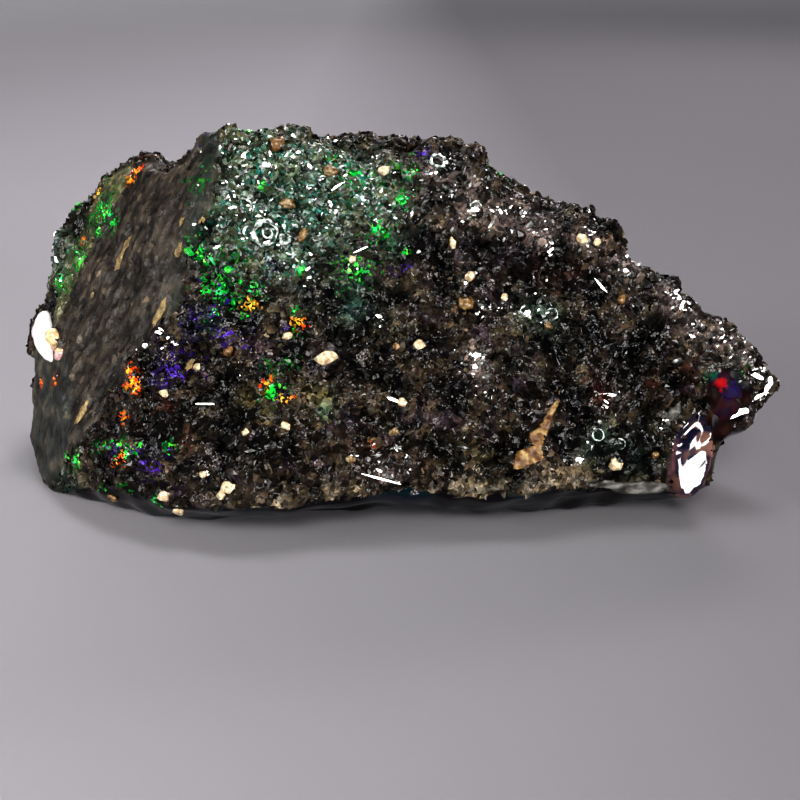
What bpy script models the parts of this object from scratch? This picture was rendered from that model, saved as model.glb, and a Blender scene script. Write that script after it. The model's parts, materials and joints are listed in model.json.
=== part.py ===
"""Rough chunk of black matrix opal: dark basalt full of opal, broken from the seam and resting on its underside.

The chunk is one solid. Its broken faces are the hull of a few named corners, shell-shaped flakes are scooped
out of that hull, and the whole surface is then roughened. Metres, +Z up, +Y away from the viewer, with the
origin on the ground under the middle of the chunk.
"""

import math

import bmesh
import bpy
from mathutils import Euler, Matrix, Vector, noise

MM = 0.001

STONE_NAME = "black_matrix_opal"

# Corners of the broken faces, in millimetres: x to the right, y away from the viewer, z up.
FRONT_RIM = (
    (-17.6, -5.2, 3.2),
    (-14.6, -8.0, 2.7),
    (-10.9, -9.7, 2.3),
    (-5.0, -9.9, 2.8),
    (1.1, -9.3, 3.0),
    (9.1, -8.5, 2.5),
    (15.5, -7.0, 2.0),
    (17.9, -6.2, 1.7),
)
CREST = (
    (-8.4, -0.8, 20.5),
    (-7.2, -0.6, 20.2),
    (-5.8, -0.3, 20.3),
    (3.4, 0.5, 19.6),
    (5.0, 0.3, 19.0),
    (13.1, -1.1, 15.4),
    (16.6, -2.9, 12.2),
)
RIGHT_TIP = (
    (19.4, -4.0, 9.1),
    (20.8, -4.4, 8.5),
    (22.5, -4.6, 7.0),
    (21.6, -4.9, 6.0),
    (19.2, -0.5, 8.0),
)
LEFT_RIDGE = (
    (-11.0, 3.8, 18.2),
    (-13.5, 5.0, 17.8),
    (-17.6, 5.0, 15.4),
    (-20.0, 5.0, 12.5),
    (-20.9, 5.0, 10.2),
    (-21.7, 4.6, 7.0),
    (-20.8, 3.4, 4.4),
    (-21.1, 1.6, 1.4),
    (-19.9, -2.6, -0.4),
)
BACK = (
    (-9.0, 8.6, 16.8),
    (-16.0, 9.4, 11.0),
    (-18.5, 8.8, 2.6),
    (-3.0, 8.0, 17.4),
    (-6.0, 11.0, 9.5),
    (-5.0, 10.4, 1.8),
    (6.0, 7.4, 14.6),
    (6.5, 9.6, 7.0),
    (12.0, 6.0, 10.2),
    (13.5, 6.6, 3.0),
    (17.5, 2.0, 6.0),
)
UNDERSIDE = (
    (-13.0, -5.6, -0.4),
    (-2.0, -6.4, -0.4),
    (9.0, -5.6, -0.4),
    (15.6, -3.0, -0.4),
    (12.5, 4.5, -0.4),
    (-3.0, 8.0, -0.4),
    (-15.0, 7.0, -0.4),
)

# Flakes broken out of the hull: name, centre and radii in millimetres, and turn about x, y and z in degrees.
SCOOPS = (
    ("under_the_tip", (23.3, -8.6, 2.5), (5.2, 5.6, 3.9), (0, 0, 0)),
    ("tip_notch", (19.6, -8.2, 3.3), (1.9, 4.0, 1.9), (0, 0, 0)),
    ("beside_the_knob", (17.2, -7.6, 8.4), (1.3, 2.8, 2.4), (0, 0, 0)),
    ("right_of_the_horn", (16.2, -1.4, 16.4), (4.1, 6.4, 3.9), (0, 30, 0)),
    ("left_of_the_horn", (9.2, 0.6, 19.3), (4.3, 8.0, 3.2), (0, 24, 0)),
    ("crest_saddle", (-1.2, 0.6, 21.8), (5.2, 9.0, 2.8), (0, 0, 0)),
    ("left_saddle", (-11.5, 4.6, 20.3), (2.1, 6.4, 3.5), (0, 0, 0)),
    ("left_face", (-24.0, -15.6, 19.4), (15.6, 13.0, 14.6), (0, 0, 0)),
    ("left_notch", (-23.0, 4.0, 9.1), (2.1, 4.0, 1.0), (0, 0, 0)),
    ("front_valley", (5.8, -8.8, 11.3), (8.6, 5.0, 2.4), (0, -28, 28)),
    ("lower_left_hollow", (-10.5, -9.3, 9.4), (4.2, 4.1, 2.3), (0, 10, 0)),
    ("lower_right_hollow", (13.4, -9.6, 5.7), (3.4, 3.2, 2.0), (0, -20, 0)),
    ("below_the_rim", (-1.0, -12.6, -2.2), (19.0, 8.0, 4.6), (0, 0, 0)),
    ("hollow_under_left", (-10.5, 2.6, -7.0), (13.0, 8.0, 8.0), (0, 0, 35)),
    ("hollow_under_right", (7.0, 2.8, -6.9), (13.0, 8.4, 8.0), (0, 0, -14)),
    ("hollow_under_front", (3.0, -5.4, -7.2), (10.0, 7.4, 8.0), (0, 0, 10)),
    ("hollow_under_back", (-2.4, 9.6, -6.4), (9.0, 9.0, 8.0), (0, 0, 0)),
)

# The middle of the chunk's box on the ground, which is set on the origin.
MIDDLE = (0.01, 0.636)

# The breaks that are smooth. The brown-grey face at the left is fine-grained, and faces this way.
LEFT_FACE_NORMAL = Vector((-0.62, -0.62, 0.49)).normalized()
LEFT_FACE_ENDS_AT_X = -7.0
LEFT_FACE_COSINES = (0.80, 0.94)
# The underside broke like glass: the share of the downward lean at which that starts and is complete.
UNDERSIDE_LEANS = (0.2, 0.55)
# The hollow below the tip broke like glass too: where it starts, how high it goes, and how far it faces right.
TIP_HOLLOW = {"from_x": 17.5, "up_to_z": 5.5, "facing_x": 0.25}
SMOOTH_SHARE = 0.15

# How the surface is roughened, in millimetres: long swells, flat chips and coarse grains.
FINE_STEP = 0.36
SKIN_STEP = 0.42
SWELL_SIZE = 6.5
SWELL_HEIGHT = 0.5
CHIP_SIZE = 2.3
CHIP_STEP = 0.5
CHIP_TILT = 0.42
STEP_PATTERN = 5.1
TILT_PATTERN = 7.3
TILT_OFFSETS = (Vector((11.0, 0.0, 0.0)), Vector((0.0, 23.0, 0.0)), Vector((0.0, 0.0, 37.0)))
GRAIN_SIZE = 1.15
GRAIN_HEIGHT = 0.2
MOST_TRIANGLES = 9200

# The stone is cut level where it rests.
FLOOR_DEPTH = 4.0
FLOOR_WIDTH = 60.0

BASALT_COLOUR = (0.028, 0.026, 0.025, 1.0)
BASALT_ROUGHNESS = 0.35


def clear_scene():
    """Removes whatever the scene holds."""
    for old in list(bpy.data.objects):
        bpy.data.objects.remove(old, do_unlink=True)


def new_collection(name):
    """A collection of this name in the scene."""
    collection = bpy.data.collections.new(name)
    bpy.context.scene.collection.children.link(collection)
    return collection


def stone_material():
    """Dark basalt with a wet, glassy lustre."""
    material = bpy.data.materials.new("opal_matrix")
    material.use_nodes = True
    shader = material.node_tree.nodes["Principled BSDF"]
    shader.inputs["Base Color"].default_value = BASALT_COLOUR
    shader.inputs["Roughness"].default_value = BASALT_ROUGHNESS
    return material


def hull_of(name, corners_mm, collection):
    """One closed hull round the corners."""
    shape = bmesh.new()
    for corner in corners_mm:
        shape.verts.new(Vector(corner) * MM)
    made = bmesh.ops.convex_hull(shape, input=shape.verts)
    spare = {part for part in made["geom_interior"] if isinstance(part, bmesh.types.BMVert)}
    bmesh.ops.delete(shape, geom=list(spare), context="VERTS")
    bmesh.ops.recalc_face_normals(shape, faces=shape.faces)
    mesh = bpy.data.meshes.new(name)
    shape.to_mesh(mesh)
    shape.free()
    stone = bpy.data.objects.new(name, mesh)
    collection.objects.link(stone)
    return stone


def add_cutter(stone, cutter, collection):
    """Takes the cutter's shape out of the stone."""
    cutter.hide_render = True
    cutter.display_type = "WIRE"
    for holder in list(cutter.users_collection):
        holder.objects.unlink(cutter)
    collection.objects.link(cutter)
    cut = stone.modifiers.new("cut " + cutter.name, "BOOLEAN")
    cut.operation = "DIFFERENCE"
    cut.solver = "EXACT"
    cut.object = cutter


def add_scoop(stone, name, centre_mm, radii_mm, turn_deg, collection):
    """Takes an ellipsoid out of the stone, which leaves a hollow like a shell."""
    bpy.ops.mesh.primitive_uv_sphere_add(segments=48, ring_count=24, radius=1.0)
    cutter = bpy.context.active_object
    cutter.name = "scoop_" + name
    turn = Euler([math.radians(angle) for angle in turn_deg]).to_matrix().to_4x4()
    size = Matrix.Diagonal((*(radius * MM for radius in radii_mm), 1.0))
    cutter.data.transform(Matrix.Translation(Vector(centre_mm) * MM) @ turn @ size)
    add_cutter(stone, cutter, collection)


def fixed_mesh(stone):
    """Carries out the modifiers of the stone."""
    graph = bpy.context.evaluated_depsgraph_get()
    made = bpy.data.meshes.new_from_object(stone.evaluated_get(graph))
    stone.modifiers.clear()
    stone.data = made


def even_skin(stone, step):
    """Divides the whole surface into even faces."""
    skin = stone.modifiers.new("even skin", "REMESH")
    skin.mode = "VOXEL"
    skin.voxel_size = step * MM
    fixed_mesh(stone)


def ramp(value, low, high):
    """0 below low, 1 above high, and even in between."""
    return min(max((value - low) / (high - low), 0.0), 1.0)


def rough_share(point, normal):
    """1 on the granular breaks, and SMOOTH_SHARE on the smooth ones."""
    smooth = ramp(-normal.z, *UNDERSIDE_LEANS)
    if point.x < LEFT_FACE_ENDS_AT_X:
        smooth = max(smooth, ramp(normal.dot(LEFT_FACE_NORMAL), *LEFT_FACE_COSINES))
    in_reach = point.x > TIP_HOLLOW["from_x"] and point.z < TIP_HOLLOW["up_to_z"]
    if in_reach and normal.x > TIP_HOLLOW["facing_x"]:
        smooth = 1.0
    return 1.0 - (1.0 - SMOOTH_SHARE) * smooth


def chip_height(point):
    """Flat chips set at their own heights and leaning their own ways, as a coarse break has."""
    centre = noise.voronoi(point / CHIP_SIZE)[1][0]
    step = CHIP_STEP * noise.noise(centre * STEP_PATTERN)
    lean = Vector([noise.noise(centre * TILT_PATTERN + offset) for offset in TILT_OFFSETS])
    return step + CHIP_TILT * lean.dot(point - centre * CHIP_SIZE)


def roughen(stone):
    """Swells, chips and coarse grains over the whole surface."""
    mesh = stone.data
    normals = [vertex.normal.copy() for vertex in mesh.vertices]
    for vertex, normal in zip(mesh.vertices, normals):
        point = vertex.co / MM
        swell = SWELL_HEIGHT * noise.noise(point / SWELL_SIZE)
        grain = GRAIN_HEIGHT * noise.noise(point / GRAIN_SIZE)
        rough = (chip_height(point) + grain) * rough_share(point, normal)
        vertex.co += normal * (swell + rough) * MM


def cut_floor(stone, collection):
    """Takes off what is below the ground, which leaves the flat that the stone rests on."""
    bpy.ops.mesh.primitive_cube_add(size=1.0, location=(0.0, 0.0, -FLOOR_DEPTH / 2 * MM))
    cutter = bpy.context.active_object
    cutter.name = "floor"
    cutter.data.transform(Matrix.Diagonal((FLOOR_WIDTH * MM, FLOOR_WIDTH * MM, FLOOR_DEPTH * MM, 1.0)))
    add_cutter(stone, cutter, collection)


def main():
    """Builds the stone."""
    clear_scene()
    part = new_collection(STONE_NAME)
    cutters = new_collection("cutters")
    corners = FRONT_RIM + CREST + RIGHT_TIP + LEFT_RIDGE + BACK + UNDERSIDE
    stone = hull_of(STONE_NAME, corners, part)
    for name, centre, radii, turn in SCOOPS:
        add_scoop(stone, name, centre, radii, turn, cutters)
    fixed_mesh(stone)
    even_skin(stone, FINE_STEP)
    roughen(stone)
    even_skin(stone, SKIN_STEP)
    fewer = stone.modifiers.new("fewer faces", "DECIMATE")
    fewer.ratio = MOST_TRIANGLES / (2 * len(stone.data.polygons))
    cut_floor(stone, cutters)
    fixed_mesh(stone)
    stone.data.transform(Matrix.Translation((-MIDDLE[0] * MM, -MIDDLE[1] * MM, 0.0)))
    stone.data.materials.clear()
    stone.data.materials.append(stone_material())


main()
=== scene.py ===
"""Looks of a rough chunk of black matrix opal: dark basalt full of opal, broken from the seam."""

import json
import math
import random

import bmesh
import bpy
import numpy as np
from mathutils import Matrix, Vector, noise
from mathutils.bvhtree import BVHTree

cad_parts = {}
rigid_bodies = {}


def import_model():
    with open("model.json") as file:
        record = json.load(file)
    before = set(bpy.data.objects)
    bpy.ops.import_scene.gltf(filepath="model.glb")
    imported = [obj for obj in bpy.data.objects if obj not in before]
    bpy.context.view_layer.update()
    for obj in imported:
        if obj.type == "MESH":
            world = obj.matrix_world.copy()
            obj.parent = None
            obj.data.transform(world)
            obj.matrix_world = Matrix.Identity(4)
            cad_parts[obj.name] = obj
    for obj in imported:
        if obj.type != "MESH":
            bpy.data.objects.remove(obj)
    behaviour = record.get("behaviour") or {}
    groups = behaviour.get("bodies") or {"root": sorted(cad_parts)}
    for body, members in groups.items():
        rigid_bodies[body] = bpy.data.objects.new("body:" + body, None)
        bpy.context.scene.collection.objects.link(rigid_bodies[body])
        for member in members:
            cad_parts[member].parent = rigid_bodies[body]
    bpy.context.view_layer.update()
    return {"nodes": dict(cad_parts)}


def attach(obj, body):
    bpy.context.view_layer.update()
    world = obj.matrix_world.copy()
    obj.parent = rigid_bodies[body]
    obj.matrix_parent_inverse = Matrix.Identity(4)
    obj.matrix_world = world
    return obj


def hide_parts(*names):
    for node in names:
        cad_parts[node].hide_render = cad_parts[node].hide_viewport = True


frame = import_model()

# The table that the chunk lies on: a wide pale sheet of matt laminate, with soft boxes round it as a stone
# dealer sets them. None of this is part of the chunk.
MM = 0.001
TABLE_HALF_WIDTH = 2.0
TABLE_TOP = -0.00003
TABLE_COLOUR = (0.285, 0.276, 0.294)
# The table clouds a little, and darkens to the right with painted shade: from here to here in millimetres,
# and how far.
TABLE_CLOUDS = (60.0, 0.985)
TABLE_PAINTED_SHADE = (-18.0, 24.0, 1.10, 0.66)
AIR_COLOUR = (0.95, 0.93, 1.0)
AIR_AT_THE_HORIZON = 0.24
AIR_OVERHEAD = 0.05
HORIZON_UP_TO = 0.18
OVERHEAD_FROM = 0.40
CAMERA_PLACE = Vector((0.00109, -0.061136, 0.030))
CAMERA_TILT = math.radians(67.0)
CAMERA_LENS = 50
FILM_WIDTH = 36
# Each soft box: where it hangs and what it faces in metres, its width and height, its strength, its colour
# and the angle over which its light spreads, in degrees. A narrower angle makes the same strength brighter.
SOFT_BOXES = (
    ("front", (-0.01, -0.30, 0.27), (0.0, 0.0, 0.01), 0.15, 0.10, 18.5, (1.0, 0.98, 0.94), 180.0),
    ("above", (0.04, 0.06, 0.36), (0.0, 0.0, 0.01), 0.20, 0.08, 9.0, (0.97, 0.98, 1.0), 180.0),
    ("back", (0.10, 0.22, 0.20), (0.01, 0.0, 0.012), 0.10, 0.05, 17.0, (1.0, 0.92, 0.94), 180.0),
    ("far", (-0.13, 0.26, 0.15), (0.0, 0.0, 0.01), 0.14, 0.10, 0.26, (1.0, 1.0, 1.0), 50.0),
    ("left", (-0.26, -0.10, 0.10), (0.0, 0.0, 0.01), 0.07, 0.16, 1.60, (1.0, 1.0, 1.0), 60.0),
    ("right", (0.19, -0.19, 0.055), (0.015, -0.007, 0.004), 0.10, 0.09, 1.15, (1.0, 0.98, 0.98), 40.0),
)
# Four wide lamps hang round the chunk and light only the table further out, so that it stays pale to its
# edge. The strengths are those behind the chunk, to its right, in front of it and to its left.
TABLE_LAMPS_OUT = 0.75
TABLE_LAMPS_UP = 0.55
TABLE_LAMPS_WIDTH = 0.9
TABLE_LAMPS_STRENGTH = (0.72, 0.24, 0.45, 1.00)
TABLE_LAMPS_SPREAD = 75.0


def link(thing):
    """Puts an object into the scene."""
    bpy.context.scene.collection.objects.link(thing)
    return thing


def new_finish(name):
    """A material with its node tree and its shader."""
    finish = bpy.data.materials.new(name)
    finish.use_nodes = True
    return finish, finish.node_tree, finish.node_tree.nodes["Principled BSDF"]


def fill(tree, node, values):
    """Sets the inputs of a node, or joins them to the outputs of others."""
    for key, value in values.items():
        if isinstance(value, bpy.types.NodeSocket):
            tree.links.new(value, node.inputs[key])
        else:
            node.inputs[key].default_value = value


def add(tree, kind, values=None, **settings):
    """Adds a node to a tree, with its settings and its inputs."""
    node = tree.nodes.new(kind)
    for key, value in settings.items():
        setattr(node, key, value)
    fill(tree, node, values or {})
    return node


def colours_by(tree, factor, stops, stepped=False):
    """A colour ramp over the factor. The stops are (place, (r, g, b))."""
    ramp = add(tree, "ShaderNodeValToRGB", {0: factor})
    band = ramp.color_ramp
    band.interpolation = "CONSTANT" if stepped else "LINEAR"
    while len(band.elements) < len(stops):
        band.elements.new(0.5)
    for element, (place, colour) in zip(band.elements, stops):
        element.position = place
        element.color = (*colour, 1.0)
    return ramp.outputs["Color"]


def levels_by(tree, factor, low, high, to_low, to_high):
    """The factor's span from low to high, spread over to_low to to_high."""
    spread = add(tree, "ShaderNodeMapRange", {0: factor, 1: low, 2: high, 3: to_low, 4: to_high})
    return spread.outputs["Result"]


def arithmetic(tree, operation, first, second=0.0):
    """One sum, product or comparison."""
    return add(tree, "ShaderNodeMath", {0: first, 1: second}, operation=operation).outputs[0]


def mix_colours(tree, factor, first, second, blend="MIX"):
    """Mixes two colours."""
    mixed = add(tree, "ShaderNodeMix", {0: factor, 6: first, 7: second}, data_type="RGBA", blend_type=blend)
    return mixed.outputs[2]


def tinted(tree, first, second):
    """One colour multiplied by another."""
    return mix_colours(tree, 1.0, first, second, "MULTIPLY")


def seen_at(tree, scale, stretch=(1.0, 1.0, 1.0), turn=(0.0, 0.0, 0.0)):
    """Object coordinates in units of the scale, turned and then stretched."""
    place = add(tree, "ShaderNodeTexCoord").outputs["Object"]
    turned = add(tree, "ShaderNodeMapping", {"Vector": place, "Rotation": turn}, vector_type="POINT")
    size = [value / (scale * MM) for value in stretch]
    return add(tree, "ShaderNodeMapping", {"Vector": turned.outputs[0], "Scale": size}).outputs[0]


def clouds_of(tree, size, detail, stretch=(1.0, 1.0, 1.0), turn=(0.0, 0.0, 0.0), **others):
    """Clouds of this size in millimetres, from 0 to 1."""
    values = {"Vector": seen_at(tree, size, stretch, turn), "Scale": 1.0, "Detail": detail, **others}
    return add(tree, "ShaderNodeTexNoise", values).outputs[0]


def clouded_finish(name, size, detail, stops, surface, **others):
    """A material coloured by clouds, with these values for the rest of its surface."""
    finish, tree, shader = new_finish(name)
    colours = colours_by(tree, clouds_of(tree, size, detail, **others), stops)
    fill(tree, shader, {"Base Color": colours, **surface})
    return finish


def hang_lamp(name, place, width, height, strength, spread):
    """A lamp that faces straight down and that the camera does not see."""
    lamp = bpy.data.lights.new(name, "AREA")
    lamp.shape = "RECTANGLE"
    lamp.size, lamp.size_y = width, height
    lamp.energy = strength * math.pi * width * height
    lamp.spread = math.radians(spread)
    box = link(bpy.data.objects.new(name, lamp))
    box.location = place
    box.visible_camera = False
    return box


table_sheet = bmesh.new()
bmesh.ops.create_grid(table_sheet, x_segments=2, y_segments=2, size=TABLE_HALF_WIDTH)
bmesh.ops.translate(table_sheet, verts=table_sheet.verts, vec=(0.0, 0.0, TABLE_TOP))
table_mesh = bpy.data.meshes.new("table_top")
table_sheet.to_mesh(table_mesh)
table_sheet.free()
table_finish, tree, shader = new_finish("matt_laminate")
cloud_size, darker = TABLE_CLOUDS
shades = colours_by(tree, clouds_of(tree, cloud_size, 2.0), (
    (0.3, tuple(darker * c for c in TABLE_COLOUR)), (0.7, TABLE_COLOUR)))
# Painted shade: the table's colour darkens towards the right.
to_the_right = add(tree, "ShaderNodeSeparateXYZ", {0: seen_at(tree, 1.0)}).outputs["X"]
fill(tree, shader, {"Base Color": tinted(tree, shades, levels_by(tree, to_the_right, *TABLE_PAINTED_SHADE)),
                    "Roughness": 0.9, "Specular IOR Level": 0.08})
table_mesh.materials.append(table_finish)
table_top = link(bpy.data.objects.new("table_top", table_mesh))

for name, place, aim, width, height, strength, tint, spread in SOFT_BOXES:
    box = hang_lamp(name + "_soft_box", place, width, height, strength, spread)
    box.data.color = tint
    box.rotation_euler = (Vector(aim) - Vector(place)).to_track_quat("-Z", "Y").to_euler()
for turn, strength in enumerate(TABLE_LAMPS_STRENGTH):
    angle = math.radians(90.0 * turn)
    place = (math.sin(angle) * TABLE_LAMPS_OUT, math.cos(angle) * TABLE_LAMPS_OUT, TABLE_LAMPS_UP)
    hang_lamp("table_lamp", place, TABLE_LAMPS_WIDTH, TABLE_LAMPS_WIDTH, strength, TABLE_LAMPS_SPREAD)

air = bpy.data.worlds.new("room")
air.use_nodes = True
tree = air.node_tree
way_up = add(tree, "ShaderNodeTexCoord").outputs["Generated"]
height = add(tree, "ShaderNodeSeparateXYZ", {0: way_up}).outputs["Z"]
horizon, overhead = (tuple(level * c for c in AIR_COLOUR) for level in (AIR_AT_THE_HORIZON, AIR_OVERHEAD))
fill(tree, tree.nodes["Background"], {
    "Color": colours_by(tree, height, (
        (0.0, horizon), (HORIZON_UP_TO, horizon), (OVERHEAD_FROM, overhead)))})
bpy.context.scene.world = air

camera = link(bpy.data.objects.new("camera", bpy.data.cameras.new("camera")))
camera.data.lens = CAMERA_LENS
camera.data.sensor_width = FILM_WIDTH
camera.data.clip_start = 0.001
camera.data.clip_end = 10
camera.location = CAMERA_PLACE
camera.rotation_euler = (CAMERA_TILT, 0.0, 0.0)
bpy.context.scene.camera = camera
bpy.context.scene.view_settings.view_transform = "Standard"
bpy.context.scene.view_settings.look = "High Contrast"

# The basalt itself, one unbroken piece. Its breaks are clusters of glassy grains with pits between them,
# which painted shade makes black, apart from the fine-grained brown face at the left and the shell-shaped
# glassy break underneath.
# All of its spots are (x, y, z, radius) in millimetres.
SKIN_STEP = 0.19
SMOOTHINGS = 6
# The outline of the brown face at the left, seen from the front: (x, z) in millimetres.
LEFT_FACE_OUTLINE = (
    (-13.5, 17.7), (-12.0, 18.6), (-10.0, 20.0), (-8.5, 21.0), (-8.5, 18.3), (-8.8, 16.6), (-9.5, 15.8),
    (-10.1, 14.6), (-10.4, 13.4), (-10.4, 12.0), (-11.2, 10.8), (-12.0, 10.5), (-12.7, 9.4), (-13.5, 8.7),
    (-13.8, 7.6), (-14.9, 6.7), (-15.3, 5.4), (-16.1, 4.4), (-17.4, 2.9), (-17.8, 3.6), (-17.3, 4.4),
    (-17.3, 5.5), (-17.5, 6.5), (-18.2, 7.7), (-18.9, 8.8), (-18.0, 10.7), (-17.0, 12.1), (-16.4, 14.0),
    (-14.9, 15.9),
)
# Under the milky knob the edge of the stone is one small smooth dark face.
LOW_FACE_OUTLINE = (
    (-17.5, 3.4), (-17.1, 4.6), (-17.3, 6.3), (-18.4, 8.0), (-19.4, 8.0), (-21.0, 6.5), (-22.5, 4.0),
    (-22.5, 0.4), (-19.0, 0.4), (-17.9, 2.0),
)
# A face belongs to the underside from the first of these leans on, and wholly from the second.
UNDERSIDE_LEANS = (0.25, 0.6)
# Where the break is clear glass, hazy with opal, teal and so on. The fire is strongest in its cores.
CLEAR_SPOTS = (
    (16.8, -7.5, 4.3, 1.3), (16.7, -7.7, 2.6, 1.3), (17.1, -7.1, 5.3, 0.9), (18.9, -6.2, 6.2, 1.1),
    (19.9, -4.6, 6.2, 1.0), (18.3, -6.1, 7.2, 0.9), (19.6, -5.5, 7.0, 0.8), (18.6, -5.6, 7.8, 0.6),
    (19.2, -5.6, 7.8, 0.5), (17.8, -5.6, 3.2, 1.5), (17.9, -6.0, 5.2, 1.2),
)
HAZE_SPOTS = (
    (-5.7, -2.6, 18.3, 3.0), (-2.6, -1.9, 18.2, 2.4), (-6.2, -4.1, 15.7, 2.5), (-7.8, -3.6, 16.9, 1.8),
    (-0.5, -2.4, 17.2, 1.9), (-3.2, -3.4, 16.2, 1.9), (-4.6, -4.6, 14.2, 1.2),
)
TEAL_SPOTS = (
    (13.6, -7.8, 3.9, 1.4), (-1.5, -5.6, 12.1, 1.6), (-4.2, -3.5, 16.4, 2.1), (-9.1, -6.0, 11.1, 0.9),
    (11.7, -7.7, 4.7, 1.1), (0.8, -3.9, 14.6, 0.9), (-2.8, -8.3, 7.0, 0.5), (-17.5, -5.2, 0.9, 1.6),
    (-14.5, -6.2, 0.6, 1.2), (8.6, -4.6, 10.9, 1.2), (-10.0, -3.4, 15.4, 1.5), (17.6, -5.9, 7.9, 0.5),
)
GREEN_SPOTS = (
    (-1.3, -2.1, 17.8, 0.8), (-0.1, -3.6, 15.3, 0.7), (1.4, -2.3, 17.1, 0.42), (-1.3, -4.7, 13.6, 0.8),
    (-8.5, -5.3, 12.6, 0.8), (-7.6, -4.6, 14.2, 0.53), (-6.8, -5.6, 12.1, 0.64), (-8.6, -4.9, 13.9, 0.7),
    (-8.0, -5.5, 12.1, 0.6), (-5.4, -7.5, 8.0, 0.7), (-5.8, -7.2, 8.7, 0.42), (-4.7, -7.0, 9.2, 0.42),
    (-13.8, -7.8, 4.6, 0.6), (-15.4, -6.7, 4.1, 0.5), (-16.8, -6.1, 3.0, 0.5), (-11.5, -9.6, 2.4, 0.4),
    (-13.4, -8.6, 2.4, 0.4), (-10.9, -8.9, 5.1, 0.36), (-16.1, 2.4, 15.3, 0.85), (-16.5, 2.1, 14.4, 0.75),
    (-17.9, 1.8, 11.9, 0.75), (-18.5, 1.5, 10.8, 0.6), (-10.0, -4.0, 14.9, 0.43), (-2.3, -1.4, 19.0, 0.5),
    (1.9, -1.2, 18.9, 0.28), (0.9, -1.6, 18.3, 0.28), (17.6, -6.0, 7.9, 0.28), (19.4, -5.2, 8.1, 0.3),
    (-9.7, -2.6, 17.6, 0.6), (-4.4, -6.2, 10.8, 0.4), (-13.4, 6.6, 12.0, 0.9), (-12.2, 7.2, 10.6, 0.8),
    (4.6, 6.6, 12.6, 0.9), (6.0, 6.3, 11.4, 0.7), (-4.4, 9.4, 8.0, 0.8), (13.8, 3.6, 7.6, 0.6),
    (-17.8, 5.2, 9.2, 0.7), (-1.6, 3.6, 17.9, 0.6),
)
VIOLET_SPOTS = (
    (-8.8, -5.9, 11.4, 0.64), (-7.6, -6.0, 10.3, 0.64), (-9.4, -6.1, 10.6, 0.53), (-11.6, -6.7, 8.2, 0.65),
    (-14.0, -6.1, 6.9, 0.44), (-12.0, -8.8, 4.2, 0.75), (-5.4, -4.7, 13.6, 0.37), (-10.3, -5.9, 9.7, 0.43),
    (-14.3, -7.7, 4.1, 0.44), (0.8, -4.7, 13.4, 0.26), (-2.1, -3.9, 15.1, 0.21), (-8.3, -6.2, 10.3, 0.7),
    (-11.2, -6.3, 8.6, 0.9), (-9.8, -5.7, 11.5, 0.65), (-10.3, -5.9, 8.9, 0.6), (18.8, -5.9, 7.3, 0.5),
    (-10.4, 8.0, 11.2, 0.9), (1.8, 7.8, 10.4, 0.8), (9.6, 5.4, 9.4, 0.8), (-15.6, 6.8, 5.4, 0.8),
    (6.6, 2.4, 17.0, 0.6),
)
GREEN_CORES = (
    (-1.3, -2.0, 17.9, 0.42), (1.2, -2.5, 16.8, 0.34), (-0.1, -3.6, 15.3, 0.43), (-1.2, -4.8, 13.5, 0.50),
    (-4.1, -5.1, 13.6, 0.21), (-8.3, -5.3, 12.6, 0.43), (-6.6, -5.3, 12.6, 0.32), (-7.2, -5.6, 11.2, 0.21),
    (-4.3, -5.9, 11.5, 0.21), (-2.2, -5.6, 12.4, 0.16), (-6.2, -2.9, 17.7, 0.22), (-5.6, -7.6, 7.8, 0.47),
    (-13.4, -8.0, 4.5, 0.44), (-14.6, -7.1, 4.5, 0.22), (-14.0, -7.7, 4.6, 0.28), (-12.7, -8.2, 4.7, 0.33),
    (-11.0, -8.9, 5.2, 0.27), (-17.5, -5.2, 2.9, 0.23), (-16.6, -6.2, 3.2, 0.29), (-13.3, -8.5, 2.2, 0.22),
    (-15.0, -7.3, 1.7, 0.23), (-11.6, -9.4, 2.2, 0.27), (-15.8, 1.8, 15.0, 0.52), (-16.4, 2.5, 15.1, 0.47),
    (-15.2, 0.9, 14.6, 0.42), (-16.2, 1.6, 14.1, 0.42), (-17.9, 2.4, 12.6, 0.45), (-17.4, 1.5, 12.3, 0.47),
    (-19.0, 2.1, 10.7, 0.42), (-9.4, -4.4, 14.3, 0.27), (-9.1, -4.6, 13.9, 0.27), (-7.8, -5.5, 12.1, 0.37),
    (-9.1, -5.4, 12.5, 0.27), (-8.6, -5.8, 11.5, 0.27), (-10.1, -4.1, 14.4, 0.22), (1.8, -1.7, 18.1, 0.27),
    (1.4, -3.9, 14.3, 0.21), (-13.4, 6.6, 12.0, 0.5), (4.6, 6.6, 12.6, 0.5), (6.0, 6.3, 11.4, 0.35),
    (-4.4, 9.4, 8.0, 0.45), (-17.8, 5.2, 9.2, 0.4), (-8.9, -4.7, 14.0, 0.28), (-7.9, -4.9, 13.6, 0.24),
    (-9.3, -5.0, 13.2, 0.24), (-8.2, -5.0, 13.2, 0.22), (-7.3, -5.2, 12.9, 0.25), (-6.9, -5.4, 12.3, 0.22),
)
VIOLET_CORES = (
    (2.2, -1.0, 18.9, 0.28), (1.4, -4.3, 13.6, 0.27), (-12.3, -8.7, 4.0, 0.32), (-11.7, -9.0, 4.1, 0.32),
    (-10.8, -9.0, 4.9, 0.16), (-11.1, -6.1, 8.9, 0.38), (-11.3, -6.6, 8.3, 0.43), (-10.6, -6.3, 8.3, 0.38),
    (-8.2, -6.1, 10.4, 0.37), (-7.0, -6.5, 9.9, 0.26), (-4.8, -6.2, 10.8, 0.21), (18.9, -6.0, 7.1, 0.39),
    (19.5, -5.7, 7.2, 0.28), (-9.6, -5.9, 11.2, 0.27), (-10.4, 8.0, 11.2, 0.5), (1.8, 7.8, 10.4, 0.4),
    (9.6, 5.4, 9.4, 0.4),
)
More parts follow.
